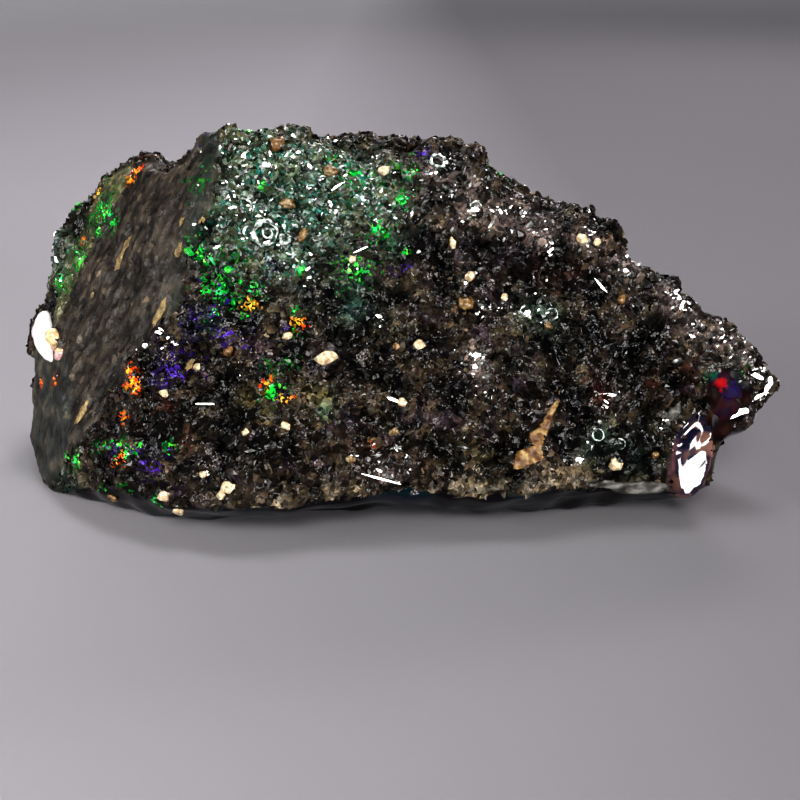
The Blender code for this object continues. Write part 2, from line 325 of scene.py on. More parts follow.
ORANGE_CORES = (
    (-13.3, -5.7, 8.2, 0.33), (-13.0, -6.3, 7.8, 0.38), (-12.9, -6.6, 7.4, 0.22), (-13.7, -7.0, 6.0, 0.22),
    (-6.7, -5.6, 11.9, 0.27), (-7.0, -5.6, 11.7, 0.21), (-4.2, -6.1, 11.0, 0.26), (-6.1, -7.4, 8.1, 0.21),
    (-5.0, -7.9, 7.4, 0.21), (-4.6, -7.8, 7.5, 0.16), (-18.9, -1.7, 6.0, 0.3), (-20.2, -0.1, 5.2, 0.31),
    (-16.7, 3.4, 15.8, 0.25), (-13.8, 1.9, 17.4, 0.36), (-14.1, 1.7, 17.0, 0.3), (-17.5, 2.3, 13.2, 0.18),
    (-13.7, -8.1, 4.0, 0.27), (-0.3, -8.9, 5.5, 0.13), (-8.9, 8.6, 9.0, 0.4), (3.2, 7.6, 7.6, 0.35),
    (11.8, 4.9, 6.0, 0.35),
)
GOLD_SPOTS = (
    (-6.8, -5.6, 11.8, 0.5), (-4.3, -6.0, 11.2, 0.2), (-16.7, 3.4, 15.8, 0.4), (-5.0, -7.9, 7.4, 0.3),
)
# The dark spots are darker stone, and painted shade in the valleys and hollows of the break.
DARK_SPOTS = (
    (-8.4, -5.3, 12.7, 1.2), (-7.2, -5.6, 11.6, 0.9),
    (2.8, -3.6, 14.5, 1.0), (5.3, -3.2, 14.1, 1.0), (9.6, -3.5, 12.4, 1.4), (9.3, -5.5, 9.6, 1.7),
    (-1.8, -6.3, 10.5, 1.0), (-4.5, -6.6, 9.9, 1.1), (0.3, -6.9, 8.8, 0.9), (13.2, -5.8, 8.4, 1.2),
    (10.7, -6.7, 6.9, 1.1), (3.8, -7.7, 7.1, 1.0), (14.2, -6.9, 6.7, 1.5), (17.8, -6.4, 6.2, 1.0),
    (-7.2, -8.2, 6.6, 1.3), (-10.1, -8.6, 6.3, 1.5), (6.6, -7.9, 5.3, 1.2), (-5.5, -9.2, 5.8, 1.4),
    (9.8, -7.6, 4.9, 0.8), (3.0, -8.6, 5.3, 0.8), (13.9, -7.6, 4.6, 1.6), (-12.0, -6.5, 8.5, 1.1),
    (0.6, -5.4, 12.0, 0.8), (11.8, -4.1, 11.6, 0.9), (15.1, -4.7, 10.1, 1.0), (8.0, -3.4, 14.2, 0.7),
    (11.2, -5.0, 10.2, 1.0), (-12.4, -8.2, 5.8, 1.2), (-8.6, -7.6, 8.0, 0.9), (12.6, -7.0, 6.6, 0.8),
    (15.8, -6.6, 7.8, 0.9), (5.0, 8.4, 5.0, 2.0), (-8.0, 9.4, 4.6, 2.0), (0.0, 7.4, 12.6, 1.6),
    (9.0, 6.0, 7.6, 1.6), (-14.0, 7.6, 7.4, 1.6),
)
GLINT_SPOTS = (
    (-12.6, -5.4, 9.4, 0.27), (-11.6, -5.5, 10.4, 0.27), (-11.5, -5.9, 9.5, 0.27), (-10.9, -5.9, 9.8, 0.32),
    (3.1, -1.5, 18.5, 0.66), (3.9, -1.2, 18.6, 0.38), (5.1, -2.5, 16.0, 0.6), (6.5, -2.2, 16.2, 0.49),
    (5.9, -1.5, 17.4, 0.44), (9.0, -3.5, 14.2, 0.43), (7.7, -5.0, 11.1, 0.64), (9.1, -4.6, 11.1, 0.54),
    (15.9, -4.0, 11.7, 0.56), (16.4, -3.9, 11.2, 0.5), (16.9, -4.4, 10.0, 0.39), (5.0, -6.7, 9.4, 0.52),
    (4.3, -6.8, 8.8, 0.42), (5.6, -7.2, 7.7, 0.42), (-7.3, -3.7, 16.6, 0.59), (-6.6, -4.0, 15.3, 0.37),
    (-5.9, -2.4, 18.6, 0.38), (-2.1, -2.5, 17.3, 0.32), (-0.9, -2.7, 16.7, 0.43), (1.6, -3.0, 16.0, 0.38),
    (0.0, -5.8, 10.9, 0.42), (-3.7, -2.2, 18.6, 0.43), (-3.0, -2.6, 17.8, 0.38), (1.0, -8.9, 5.0, 0.37),
    (1.5, -9.1, 4.4, 0.42), (-0.4, -9.6, 3.5, 0.42), (15.3, -6.7, 6.0, 0.39), (10.5, -8.1, 4.0, 0.27),
    (12.4, -6.5, 7.0, 0.33), (2.6, -1.7, 18.2, 0.65), (0.1, -1.9, 18.1, 0.43), (7.6, -2.1, 15.8, 0.45),
    (-2.1, -3.1, 16.1, 0.54), (-4.9, -4.2, 15.1, 0.85), (-6.1, -3.8, 16.3, 0.53), (10.9, -2.9, 14.5, 0.55),
    (11.6, -2.3, 15.1, 0.55), (4.8, -4.0, 12.8, 0.32), (-3.6, -5.4, 13.1, 0.42), (5.9, -4.8, 11.5, 0.64),
    (19.2, -5.1, 9.2, 0.67), (-1.2, -9.2, 4.7, 0.42), (12.3, -7.1, 6.0, 0.43), (15.1, -6.9, 5.5, 0.55),
    (-9.1, -9.6, 4.1, 0.42), (-7.1, -1.8, 19.4, 0.55), (-4.2, -2.0, 19.2, 0.54), (-6.8, -2.5, 18.3, 0.54),
    (8.6, -4.0, 12.2, 0.43), (9.6, -3.2, 14.7, 0.44), (3.8, -2.3, 17.2, 0.54), (4.6, -1.3, 18.3, 0.55),
    (5.9, -3.1, 15.2, 0.43), (-2.6, -2.8, 17.0, 0.43), (11.8, -6.7, 6.6, 0.43), (11.2, -7.7, 5.0, 0.43),
    (20.4, -5.0, 7.6, 0.6), (20.9, -4.9, 6.8, 0.6), (-6.0, 9.0, 12.4, 0.8), (7.4, 6.4, 10.6, 0.7),
    (-12.0, 8.8, 9.6, 0.7), (2.4, 8.6, 7.8, 0.7),
)
RIM_SPOTS = (
    (-17.2, -5.7, 1.7, 0.29), (-16.4, -6.3, 1.7, 0.29), (-15.4, -6.9, 1.5, 0.29), (-14.6, -7.1, 1.1, 0.28),
    (-13.6, -7.6, 1.2, 0.28), (-12.4, -8.1, 1.1, 0.28), (-11.3, -8.2, 1.0, 0.28), (-10.2, -8.4, 0.9, 0.28),
    (-8.9, -9.5, 1.6, 0.27), (-7.6, -10.3, 2.1, 0.26), (-6.4, -10.5, 2.4, 0.26), (-5.1, -10.6, 2.7, 0.26),
    (-3.8, -10.3, 2.8, 0.26), (-2.5, -10.0, 2.8, 0.26), (-1.3, -9.8, 2.6, 0.26), (0.0, -9.3, 2.3, 0.26),
    (1.4, -9.1, 2.3, 0.27), (2.7, -9.3, 2.5, 0.26), (4.0, -9.4, 2.9, 0.32), (5.3, -9.4, 3.1, 0.37),
    (6.6, -9.3, 3.2, 0.37), (7.9, -9.2, 3.1, 0.26), (9.2, -9.2, 3.2, 0.32), (10.7, -8.5, 2.8, 0.32),
    (12.1, -8.0, 2.4, 0.38), (13.5, -7.8, 2.1, 0.39), (14.9, -7.6, 1.8, 0.39), (16.1, -7.4, 1.8, 0.28),
)
MOSS_SPOTS = (
    (-16.1, 2.4, 15.3, 0.97), (-16.5, 2.0, 14.2, 0.97), (-17.9, 1.8, 11.9, 0.98), (-18.4, 1.2, 10.5, 0.86),
    (-15.0, 2.4, 16.7, 0.84), (-17.2, 1.9, 13.0, 0.85), (-18.8, 0.7, 9.5, 0.61), (-15.6, 2.5, 16.1, 0.73),
)
RED_BROWN_SPOTS = (
    (8.6, -3.4, 13.1, 0.76), (10.5, -3.4, 13.1, 0.44), (9.7, -3.5, 12.5, 0.55), (11.8, -6.5, 7.1, 0.65),
    (16.6, -5.9, 8.3, 0.66), (17.4, -5.7, 8.1, 0.44), (-11.2, -7.9, 6.8, 0.75), (-12.0, -8.1, 5.8, 0.65),
    (-10.3, -8.9, 5.6, 0.53), (14.7, -6.3, 7.9, 0.55), (18.6, -6.4, 5.9, 0.67), (-0.8, -8.4, 4.6, 0.8),
    (0.6, 7.8, 6.2, 0.9),
)
OLIVE_SPOTS = (
    (5.5, -9.2, 3.4, 0.53), (6.3, -9.2, 3.2, 0.63), (7.1, -9.3, 3.1, 0.42), (-7.0, -7.8, 7.3, 0.63),
    (-6.1, -8.2, 7.0, 0.63), (5.3, -8.7, 4.6, 0.42), (-3.0, -7.9, 7.6, 0.8), (9.0, 6.6, 6.4, 0.9),
    (-7.8, -1.6, 19.5, 0.5), (-5.9, -1.9, 19.4, 0.5),
)
# Where light from behind catches the upper right slope, it is painted on as a pale grey mauve tint, and glass
# flakes lie there.
PAINTED_RIM_LIGHT_SPOTS = (
    (3.2, -1.8, 18.0, 1.1), (5.2, -2.4, 16.6, 1.2), (6.8, -2.3, 16.0, 1.1), (8.6, -2.8, 15.0, 1.0),
    (11.3, -2.6, 14.8, 0.9), (13.6, -3.0, 13.2, 0.9), (15.9, -3.9, 11.8, 0.9), (16.9, -4.3, 10.4, 0.8),
    (18.2, -4.6, 9.6, 0.8), (19.2, -4.9, 9.0, 0.7), (0.4, -9.3, 3.9, 0.8), (5.2, -6.9, 9.0, 0.8),
)
EDGE_SPOTS = (
    (-8.9, -1.5, 19.7, 0.44), (-9.1, -2.1, 18.7, 0.49), (-9.1, -2.8, 17.8, 0.44), (-9.3, -3.4, 16.9, 0.43),
    (-9.6, -3.8, 15.6, 0.43), (-10.0, -4.1, 14.4, 0.43), (-10.1, -4.6, 13.2, 0.49),
    (-10.3, -5.1, 12.2, 0.49), (-10.6, -5.3, 11.5, 0.43),
)


def near(points, spots, spread=1.0):
    """1 at the middle of the nearest spot for each point, fading to 0 outside it."""
    best = np.zeros(len(points))
    for x, y, z, radius in spots:
        away = ((points - (x, y, z)) ** 2).sum(axis=1)
        best = np.maximum(best, np.exp(-away / (radius * spread) ** 2))
    return best


def between(values, low, high):
    """0 below low, 1 above high, and even in between."""
    return np.clip((values - low) / (high - low), 0.0, 1.0)


def set_marks(mesh, marks):
    """Stores numbers for the points of a mesh, each set under its name."""
    for name, values in marks.items():
        mark = mesh.attributes.new(name, "FLOAT", "POINT")
        mark.data.foreach_set("value", np.asarray(values, dtype=np.float32))


def finished_mesh(thing, name):
    """The mesh of an object once its modifiers are carried out."""
    graph = bpy.context.evaluated_depsgraph_get()
    made = bpy.data.meshes.new_from_object(thing.evaluated_get(graph), depsgraph=graph)
    made.name = name
    return made


def shell_of(mesh):
    """The surface of a mesh, ready to be met by a line."""
    return BVHTree.FromPolygons([v.co for v in mesh.vertices], [p.vertices for p in mesh.polygons])


blank = bmesh.new()
blank.from_mesh(frame["nodes"]["black_matrix_opal"].data)
bmesh.ops.remove_doubles(blank, verts=blank.verts, dist=1e-6)
blank_mesh = bpy.data.meshes.new("blank")
blank.to_mesh(blank_mesh)
blank.free()
blank_stone = link(bpy.data.objects.new("blank", blank_mesh))
even = blank_stone.modifiers.new("even skin", "REMESH")
even.mode = "VOXEL"
even.voxel_size = SKIN_STEP * MM
ease = blank_stone.modifiers.new("eased edges", "SMOOTH")
ease.factor = 0.5
ease.iterations = SMOOTHINGS
chunk_mesh = finished_mesh(blank_stone, "basalt_chunk")
bpy.data.objects.remove(blank_stone, do_unlink=True)

count = len(chunk_mesh.vertices)
points = np.empty(count * 3)
chunk_mesh.vertices.foreach_get("co", points)
points = points.reshape(-1, 3) / MM
faces_out = np.array([vertex.normal for vertex in chunk_mesh.vertices])
base_shell = shell_of(chunk_mesh)


def inside(across, up, outline):
    """1 for each point within a closed outline, 0 outside it."""
    within = np.zeros(len(across), dtype=bool)
    for (x, z), (next_x, next_z) in zip(outline, outline[1:] + outline[:1]):
        crosses = (z > up) != (next_z > up)
        meets = x + (up - z) * (next_x - x) / (next_z - z if next_z != z else 1.0)
        within ^= crosses & (across < meets)
    return within.astype(float)


# The far side of the chunk carries the same marks, laid by chance over every seventh point of its skin.
FAR_SIDE_STEP = 7
chance = random.Random(41)
far_side = [index for index in range(0, count, FAR_SIDE_STEP)
            if faces_out[index][1] > 0.15 and faces_out[index][2] > -0.2 and points[index][2] > 2.5]


def strewn(number, *spans):
    """Spots at random places on the far side, with a number drawn from each of the spans."""
    return tuple((*points[chance.choice(far_side)], *(chance.uniform(*span) for span in spans))
                 for _ in range(number))


far_greens = strewn(11, (0.35, 0.75))
far_violets = strewn(8, (0.35, 0.7))
far_oranges = strewn(9, (0.2, 0.36))
far_hazes = strewn(4, (1.2, 2.2))
GREEN_SPOTS += tuple((*spot[:3], 1.5 * spot[3]) for spot in far_greens)
GREEN_CORES += far_greens
VIOLET_SPOTS += tuple((*spot[:3], 1.5 * spot[3]) for spot in far_violets)
VIOLET_CORES += far_violets
ORANGE_CORES += far_oranges
HAZE_SPOTS += far_hazes
TEAL_SPOTS += strewn(5, (0.8, 1.6))
DARK_SPOTS += strewn(9, (0.9, 1.8))
GLINT_SPOTS += strewn(26, (0.35, 0.75))
RED_BROWN_SPOTS += strewn(6, (0.5, 0.9))
OLIVE_SPOTS += strewn(5, (0.4, 0.9))
to_the_front = between(-faces_out[:, 1], -0.1, 0.15)
low_face = inside(points[:, 0], points[:, 2], LOW_FACE_OUTLINE) * to_the_front
left_face = inside(points[:, 0], points[:, 2], LEFT_FACE_OUTLINE) * to_the_front
ends = np.empty(len(chunk_mesh.edges) * 2, dtype=np.int64)
chunk_mesh.edges.foreach_get("vertices", ends)
ends = ends.reshape(-1, 2)
neighbours = np.maximum(np.bincount(ends.ravel(), minlength=count), 1)


def spread_out(values, times):
    """Evens out numbers on the chunk over their neighbours."""
    for _ in range(times):
        total = np.bincount(ends[:, 0], values[ends[:, 1]], count)
        total += np.bincount(ends[:, 1], values[ends[:, 0]], count)
        values = 0.5 * values + 0.5 * total / neighbours
    return values


low_face = between(spread_out(low_face, 5), 0.3, 0.7)
left_face = np.maximum(between(spread_out(left_face, 5), 0.3, 0.7), low_face)
underside = between(spread_out(between(-faces_out[:, 2], *UNDERSIDE_LEANS), 4), 0.3, 0.7)
clear = between(near(points, CLEAR_SPOTS), 0.25, 0.6)

# The break under the tip is one clean, glassy facet, turned a little to the right.
FACET_MIDDLE = np.array((16.75, -7.5, 3.6))
FACET_HALF = np.array((1.12, 2.4))
FACET_LEAN = 0.13
FACET_FACES = np.array((0.25, -0.9, 0.357))
FACET_FLATNESS = 0.92
TIP_REACHES_BACK_TO = -4.5
away = ((points[:, 0] - FACET_MIDDLE[0] - FACET_LEAN * (points[:, 2] - FACET_MIDDLE[2])) / FACET_HALF[0]) ** 2
away += ((points[:, 2] - FACET_MIDDLE[2]) / FACET_HALF[1]) ** 2
in_front = points[:, 1] < TIP_REACHES_BACK_TO
facet = between(-away, -1.25, -0.75) * in_front
facet_edge = np.exp(-((away - 1.0) / 0.22) ** 2) * in_front * between(-points[:, 2], -5.0, -4.2)
clear = np.maximum(clear * between(away, 0.9, 1.3), facet)
rough = (1 - left_face) * (1 - underside) * (1 - clear)
points = points - (FACET_FLATNESS * facet * ((points - FACET_MIDDLE) @ FACET_FACES))[:, None] * FACET_FACES


def swell(point, size, shift=(0.0, 0.0, 0.0)):
    """Smooth rises and falls of this size in millimetres, between about -1 and 1."""
    return noise.noise(Vector(point) / size + Vector(shift))


# How deep each point lies in the hollows of the relief, on the breaks and on the brown face, is kept for
# painted shade.
lifts = np.zeros(count)
hollow_shade_depths = np.zeros(count)
clumps = np.array([swell(point, 1.5, (9.0, 4.0, 2.0)) + 0.6 * swell(point, 0.7) for point in points])
dark = near(points, DARK_SPOTS)
glints = near(points, GLINT_SPOTS, 1.1)
sprinkle = np.array([swell(point, 1.1, (2.0, 6.0, 5.0)) for point in points])
sprinkle = 0.7 * between(sprinkle, 0.28, 0.5) * (1.0 - dark)
haze = near(points, HAZE_SPOTS) * rough
painted_rim_light = near(points, PAINTED_RIM_LIGHT_SPOTS) * rough
moss = between(near(points, MOSS_SPOTS, 1.3), 0.15, 0.5) * rough
rim = near(points, RIM_SPOTS, 1.1)
STREAKS_RUN = Vector((0.48, 0.21, 0.85)).normalized()
STREAKS_ACROSS = STREAKS_RUN.orthogonal().normalized()
STREAKS_DEEP = STREAKS_RUN.cross(STREAKS_ACROSS)
PERCUSSION_POINT = Vector((-6.0, -12.0, 1.0))
TIP_PERCUSSION_POINT = Vector((21.0, -10.0, 8.0))
# The three sizes of broken grain: how wide and how high they are, at which gap they end and how deep they
# are set.
BREAKS = ((1.75, 0.42, 0.5, 0.10), (0.72, 0.30, 0.45, 0.06), (0.36, 0.15, 0.45, 0.03))
# Some of the widest grains are knocked out and leave a pit: those whose pick is over this.
PITTED_OVER = 0.22
# How high the other forms of the breaks stand, or how deep they go, in millimetres.
SWELLS = 0.10
RIDGES = 0.17
KNOBS = 0.16
PITS = 0.42
SHELL_WAVES = 0.07
TIP_WAVES = 0.03
FACET_STEPS = 0.16
for index in range(count):
    point = Vector(points[index])
    lift = SWELLS * swell(point, 2.8)
    if rough[index] > 0.01:
        ridge = 1.0 - 3.2 * abs(swell(point, 2.7, (4.0, 8.0, 1.0)))
        knobs = swell(point, 1.3, (1.0, 7.0, 3.0))
        stretch = rough[index] * (1.0 - 0.6 * moss[index])
        lift += (RIDGES * ridge + KNOBS * knobs - 0.06) * stretch
        grains = [noise.voronoi(point / wide) for wide, _, _, _ in BREAKS]
        broken = 0.0
        for (gaps, _), (_, high, ends_at, set_in) in zip(grains, BREAKS):
            broken += high * min(gaps[1] - gaps[0], ends_at) - set_in
        (wide_gaps, wide_cells), (_, fine_cells) = grains[:2]
        broken += 0.16 * noise.noise(fine_cells[0] * 4.7 + Vector((3.1, 0.0, 0.0)))
        if noise.noise(wide_cells[0] * 3.3 + Vector((0.0, 5.9, 0.0))) > PITTED_OVER:
            broken -= PITS * max(0.0, 1.0 - 1.6 * wide_gaps[0])
        hollow_shade_depths[index] = (broken + 0.14 * ridge + 0.12 * knobs) * rough[index]
        lift += broken * stretch
    if left_face[index] > 0.01:
        bend = Vector((swell(point, 0.9), swell(point, 0.9, (5.0, 1.0, 2.0)), 0.0)) * 0.5
        flat = Vector((point.dot(STREAKS_RUN) / 2.1, point.dot(STREAKS_ACROSS) / 0.6,
                       point.dot(STREAKS_DEEP) / 0.6))
        relief = 0.07 * noise.noise(flat + bend) + 0.05 * noise.noise(flat * 2.1 + bend * 2.0)
        relief += 0.06 * swell(point, 0.36) + 0.16 * swell(point, 1.4, bend)
        pit, pit_cells = noise.voronoi(point / 0.62)
        if noise.noise(pit_cells[0] * 5.1) > 0.12:
            relief -= 0.09 * max(0.0, 1.0 - 3.4 * pit[0])
        lift += relief * left_face[index]
        hollow_shade_depths[index] += relief * 2.0 * left_face[index]
    if underside[index] > 0.01:
        ring = (point - PERCUSSION_POINT).length + 0.9 * swell(point, 5.0)
        lift += SHELL_WAVES * math.sin(ring * 2.6) * underside[index]
        lift += 0.02 * swell(point, 0.8) * underside[index]
    if clear[index] > 0.01:
        ring = (point - TIP_PERCUSSION_POINT).length + 0.4 * swell(point, 2.0)
        lift += TIP_WAVES * math.sin(ring * 3.4) * clear[index] * (1.0 - 0.7 * facet[index])
        slope = 0.87 * (point.x - FACET_MIDDLE[0]) - 0.50 * (point.z - FACET_MIDDLE[2])
        steps = noise.noise(Vector((slope / 0.62, point.z / 1.3, 4.0)))
        steps += 0.35 * noise.noise(Vector((slope / 0.28, point.z / 0.8, 7.0)))
        lift += FACET_STEPS * steps * facet[index] * min(max((point.z - 3.0) / 1.5, 0.06), 1.0)
    lifts[index] = lift

RESTS_BELOW = 0.06
moved = points + faces_out * lifts[:, None]
lowest = np.where(points[:, 2] < RESTS_BELOW, points[:, 2], moved[:, 2])
moved[:, 2] = np.maximum(lowest, 0.0)
chunk_mesh.vertices.foreach_set("co", (moved * MM).ravel())
chunk_mesh.update()
for polygon in chunk_mesh.polygons:
    polygon.use_smooth = True
green = np.maximum(0.6 * near(points, GREEN_SPOTS, 1.2), near(points, GREEN_CORES, 1.3))
violet = np.maximum(0.8 * near(points, VIOLET_SPOTS, 1.1), near(points, VIOLET_CORES, 1.2))
orange = near(points, ORANGE_CORES, 1.25)
# The colour darkens at the dark spots, which are darker stone and painted shade. It lightens at random, in
# the haze and under the painted rim light.
darkness = 0.1 + 0.9 * dark * (1.0 - glints) - 0.9 * clumps - 0.5 * haze - 0.4 * painted_rim_light
set_marks(chunk_mesh, {
    "left_face": left_face, "low_face": low_face, "underside": underside, "clear": clear, "rough": rough,
    "painted_hollow_shade": between(-hollow_shade_depths, -0.05, 0.26) * (1.0 - 0.65 * haze), "dark": between(darkness, 0.0, 0.8),
    "haze": haze, "painted_rim_light": painted_rim_light, "teal": near(points, TEAL_SPOTS), "green": green, "violet": violet,
    "orange": orange, "gold": near(points, GOLD_SPOTS, 1.3), "moss": moss, "rim": rim,
    "core": near(points, GREEN_CORES + VIOLET_CORES + ORANGE_CORES, 1.1),
    "rim_band": near(points, RIM_SPOTS, 3.0), "red_brown": near(points, RED_BROWN_SPOTS, 1.2),
    "olive": near(points, OLIVE_SPOTS, 1.2), "edge": near(points, EDGE_SPOTS, 1.5) * left_face,
    "facet_edge": facet_edge})


def mark_of(tree, name):
    """A number stored on the mesh."""
    return add(tree, "ShaderNodeAttribute", attribute_name=name).outputs["Fac"]


def share_of(tree, name, part):
    """A number stored on the mesh, multiplied."""
    return arithmetic(tree, "MULTIPLY", mark_of(tree, name), part)


def grouped(name, inputs, outputs):
    """An empty group of shader nodes. Its inputs are the names of numbers, its outputs (name, kind)."""
    group = bpy.data.node_groups.new(name, "ShaderNodeTree")
    for label in inputs:
        group.interface.new_socket(label, in_out="INPUT", socket_type="NodeSocketFloat")
    for label, kind in outputs:
        group.interface.new_socket(label, in_out="OUTPUT", socket_type="NodeSocket" + kind)
    return group, group.nodes.new("NodeGroupInput").outputs, group.nodes.new("NodeGroupOutput")


def use(tree, group, values):
    """The outputs of a group of nodes with these inputs."""
    return add(tree, "ShaderNodeGroup", values, node_tree=group).outputs


# Grains that are too small to stand up by themselves: each has its own pick of colour and its own lean.
grain_group, given, made = grouped("fine_grains", ("Grain Size", "Lean"), (
    ("Pick", "Float"), ("Second Pick", "Float"), ("Seam", "Float"), ("Normal", "Vector")))
cells = add(grain_group, "ShaderNodeTexVoronoi", {
    "Vector": add(grain_group, "ShaderNodeTexCoord").outputs["Object"],
    "Scale": arithmetic(grain_group, "DIVIDE", 1000.0, given["Grain Size"])}).outputs
picks = add(grain_group, "ShaderNodeSeparateColor", {0: cells["Color"]}).outputs
centred = add(grain_group, "ShaderNodeVectorMath", {0: cells["Color"], 1: (0.5, 0.5, 0.5)},
              operation="SUBTRACT")
leant = add(grain_group, "ShaderNodeVectorMath", {0: centred.outputs[0], "Scale": given["Lean"]},
            operation="SCALE")
turned = add(grain_group, "ShaderNodeVectorMath", {
    0: add(grain_group, "ShaderNodeNewGeometry").outputs["Normal"], 1: leant.outputs[0]}, operation="ADD")
level = add(grain_group, "ShaderNodeVectorMath", {0: turned.outputs[0]}, operation="NORMALIZE")
fill(grain_group, made, {
    "Pick": picks[0], "Second Pick": picks[1], "Seam": cells["Distance"], "Normal": level.outputs[0]})

# The play of colour: where a grain's pick falls under the strength of a colour here, the grain flashes it.
fire_group, given, made = grouped(
    "play_of_colour", ("Pick", "Second Pick", "Share"), (("Colour", "Color"), ("Fire", "Float")))
greens = colours_by(fire_group, given["Second Pick"], (
    (0.0, (0.0, 0.05, 0.012)), (0.35, (0.0, 0.20, 0.03)), (0.7, (0.01, 0.55, 0.05)),
    (0.86, (0.20, 0.85, 0.06)), (0.96, (0.05, 0.65, 0.22))))
violets = colours_by(fire_group, given["Second Pick"], (
    (0.0, (0.012, 0.006, 0.03)), (0.4, (0.026, 0.010, 0.10)), (0.75, (0.060, 0.020, 0.22)),
    (0.95, (0.15, 0.065, 0.58))))
oranges = colours_by(fire_group, given["Second Pick"], (
    (0.0, (0.15, 0.02, 0.0)), (0.3, (0.7, 0.06, 0.01)), (0.6, (0.95, 0.20, 0.01)), (0.85, (1.0, 0.48, 0.03))))
oranges = mix_colours(fire_group, mark_of(fire_group, "gold"), oranges, (0.80, 0.52, 0.05, 1.0))
glow = greens
total = 0.0
for name, colours in (("green", greens), ("violet", violets), ("orange", oranges)):
    shows = arithmetic(fire_group, "LESS_THAN", given["Pick"], share_of(fire_group, name, given["Share"]))
    if colours != greens:
        glow = mix_colours(fire_group, shows, glow, colours)
    total = arithmetic(fire_group, "MAXIMUM", total, shows)
dimmed = levels_by(fire_group, mark_of(fire_group, "core"), 0.0, 1.0, 0.20, 1.5)
fill(fire_group, made, {"Colour": tinted(fire_group, glow, dimmed), "Fire": total})

# The basalt is not one black: it clouds from purple grey through black to olive and brown, a millimetre or
# two apart, with red brown, olive and mossy patches. The weight says how light this one grain is.
TINTED_PATCHES = (
    ("red_brown", 0.8, (0.050, 0.015, 0.008, 1.0)), ("olive", 0.8, (0.085, 0.073, 0.032, 1.0)),
    ("moss", 0.95, (0.150, 0.150, 0.080, 1.0)), ("rim_band", 0.8, (0.135, 0.108, 0.072, 1.0)),
    ("rim", 0.9, (0.29, 0.25, 0.185, 1.0)), ("haze", 0.9, (0.080, 0.098, 0.064, 1.0)),
    # The pale grey mauve patch on the upper right slope is painted light from behind.
    ("teal", 0.6, (0.008, 0.056, 0.042, 1.0)), ("painted_rim_light", 0.8, (0.165, 0.132, 0.125, 1.0)),
)
tint_group, given, made = grouped("basalt_tints", ("Weight",), (("Colour", "Color"),))
tints = colours_by(tint_group, clouds_of(tint_group, 1.5, 3.0, Roughness=0.6, Distortion=0.6), (
    (0.30, (0.042, 0.028, 0.040)), (0.41, (0.025, 0.018, 0.018)), (0.49, (0.038, 0.027, 0.021)),
    (0.57, (0.044, 0.037, 0.023)), (0.65, (0.066, 0.043, 0.030)), (0.76, (0.085, 0.067, 0.058))))
for mark, share, colour in TINTED_PATCHES:
    tints = mix_colours(tint_group, share_of(tint_group, mark, share), tints, colour)
weights = colours_by(tint_group, given["Weight"], (
    (0.0, (0.05, 0.05, 0.05)), (0.32, (0.28, 0.28, 0.28)), (0.60, (0.85, 0.85, 0.85)),
    (0.82, (1.9, 1.85, 1.75)), (1.0, (4.0, 3.8, 3.5))))
weights = mix_colours(tint_group, share_of(tint_group, "moss", 0.6), weights, (0.8, 0.8, 0.8, 1.0))
# The dark mark darkens the colour: darker stone and painted shade.
shade = levels_by(tint_group, mark_of(tint_group, "dark"), 0.0, 1.0, 1.25, 0.12)
fill(tint_group, made, {"Colour": tinted(tint_group, tinted(tint_group, tints, weights), shade)})

# The coarse and the tiny grains of the break, in millimetres, and how strongly its fire glows: a painted
# glow, as its fire colours are given off as light.
COARSE_GRAIN = 0.38
TINY_GRAIN = 0.15
PAINTED_FIRE_GLOW = 0.25
BLACK = (0.0, 0.0, 0.0, 1.0)
chunk_finish, tree, shader = new_finish("glassy_basalt")
polish = arithmetic(tree, "MAXIMUM", mark_of(tree, "underside"), mark_of(tree, "clear"))
lean = add(tree, "ShaderNodeMix", {0: mark_of(tree, "rough"), 2: 0.10, 3: 0.9}).outputs[0]
lean = arithmetic(tree, "MULTIPLY", lean, levels_by(tree, polish, 0.0, 0.5, 1.0, 0.0))
coarse = use(tree, grain_group, {"Grain Size": COARSE_GRAIN, "Lean": lean})
tiny = use(tree, grain_group, {"Grain Size": TINY_GRAIN, "Lean": 0.5})
fire = use(tree, fire_group, {"Pick": tiny["Pick"], "Second Pick": coarse["Second Pick"], "Share": 0.6})
weight = arithmetic(tree, "ADD", arithmetic(tree, "MULTIPLY", coarse["Pick"], 0.7),
                    arithmetic(tree, "MULTIPLY", tiny["Second Pick"], 0.3))
basalt = use(tree, tint_group, {"Weight": weight})["Colour"]
# In the haze the fine grains take grey teal and olive colours, and the lightest of them near white: painted
# glints.
haze_colours_and_painted_glints = colours_by(tree, tiny["Pick"], (
    (0.0, (0.010, 0.018, 0.010)), (0.30, (0.060, 0.068, 0.016)), (0.50, (0.004, 0.175, 0.130)),
    (0.70, (0.10, 0.19, 0.14)), (0.84, (0.34, 0.43, 0.38)), (0.95, (0.72, 0.82, 0.82))), stepped=True)
haze_glint_share = share_of(tree, "haze", levels_by(tree, coarse["Second Pick"], 0.25, 0.65, 0.0, 0.95))
surface = mix_colours(tree, haze_glint_share, basalt, haze_colours_and_painted_glints)

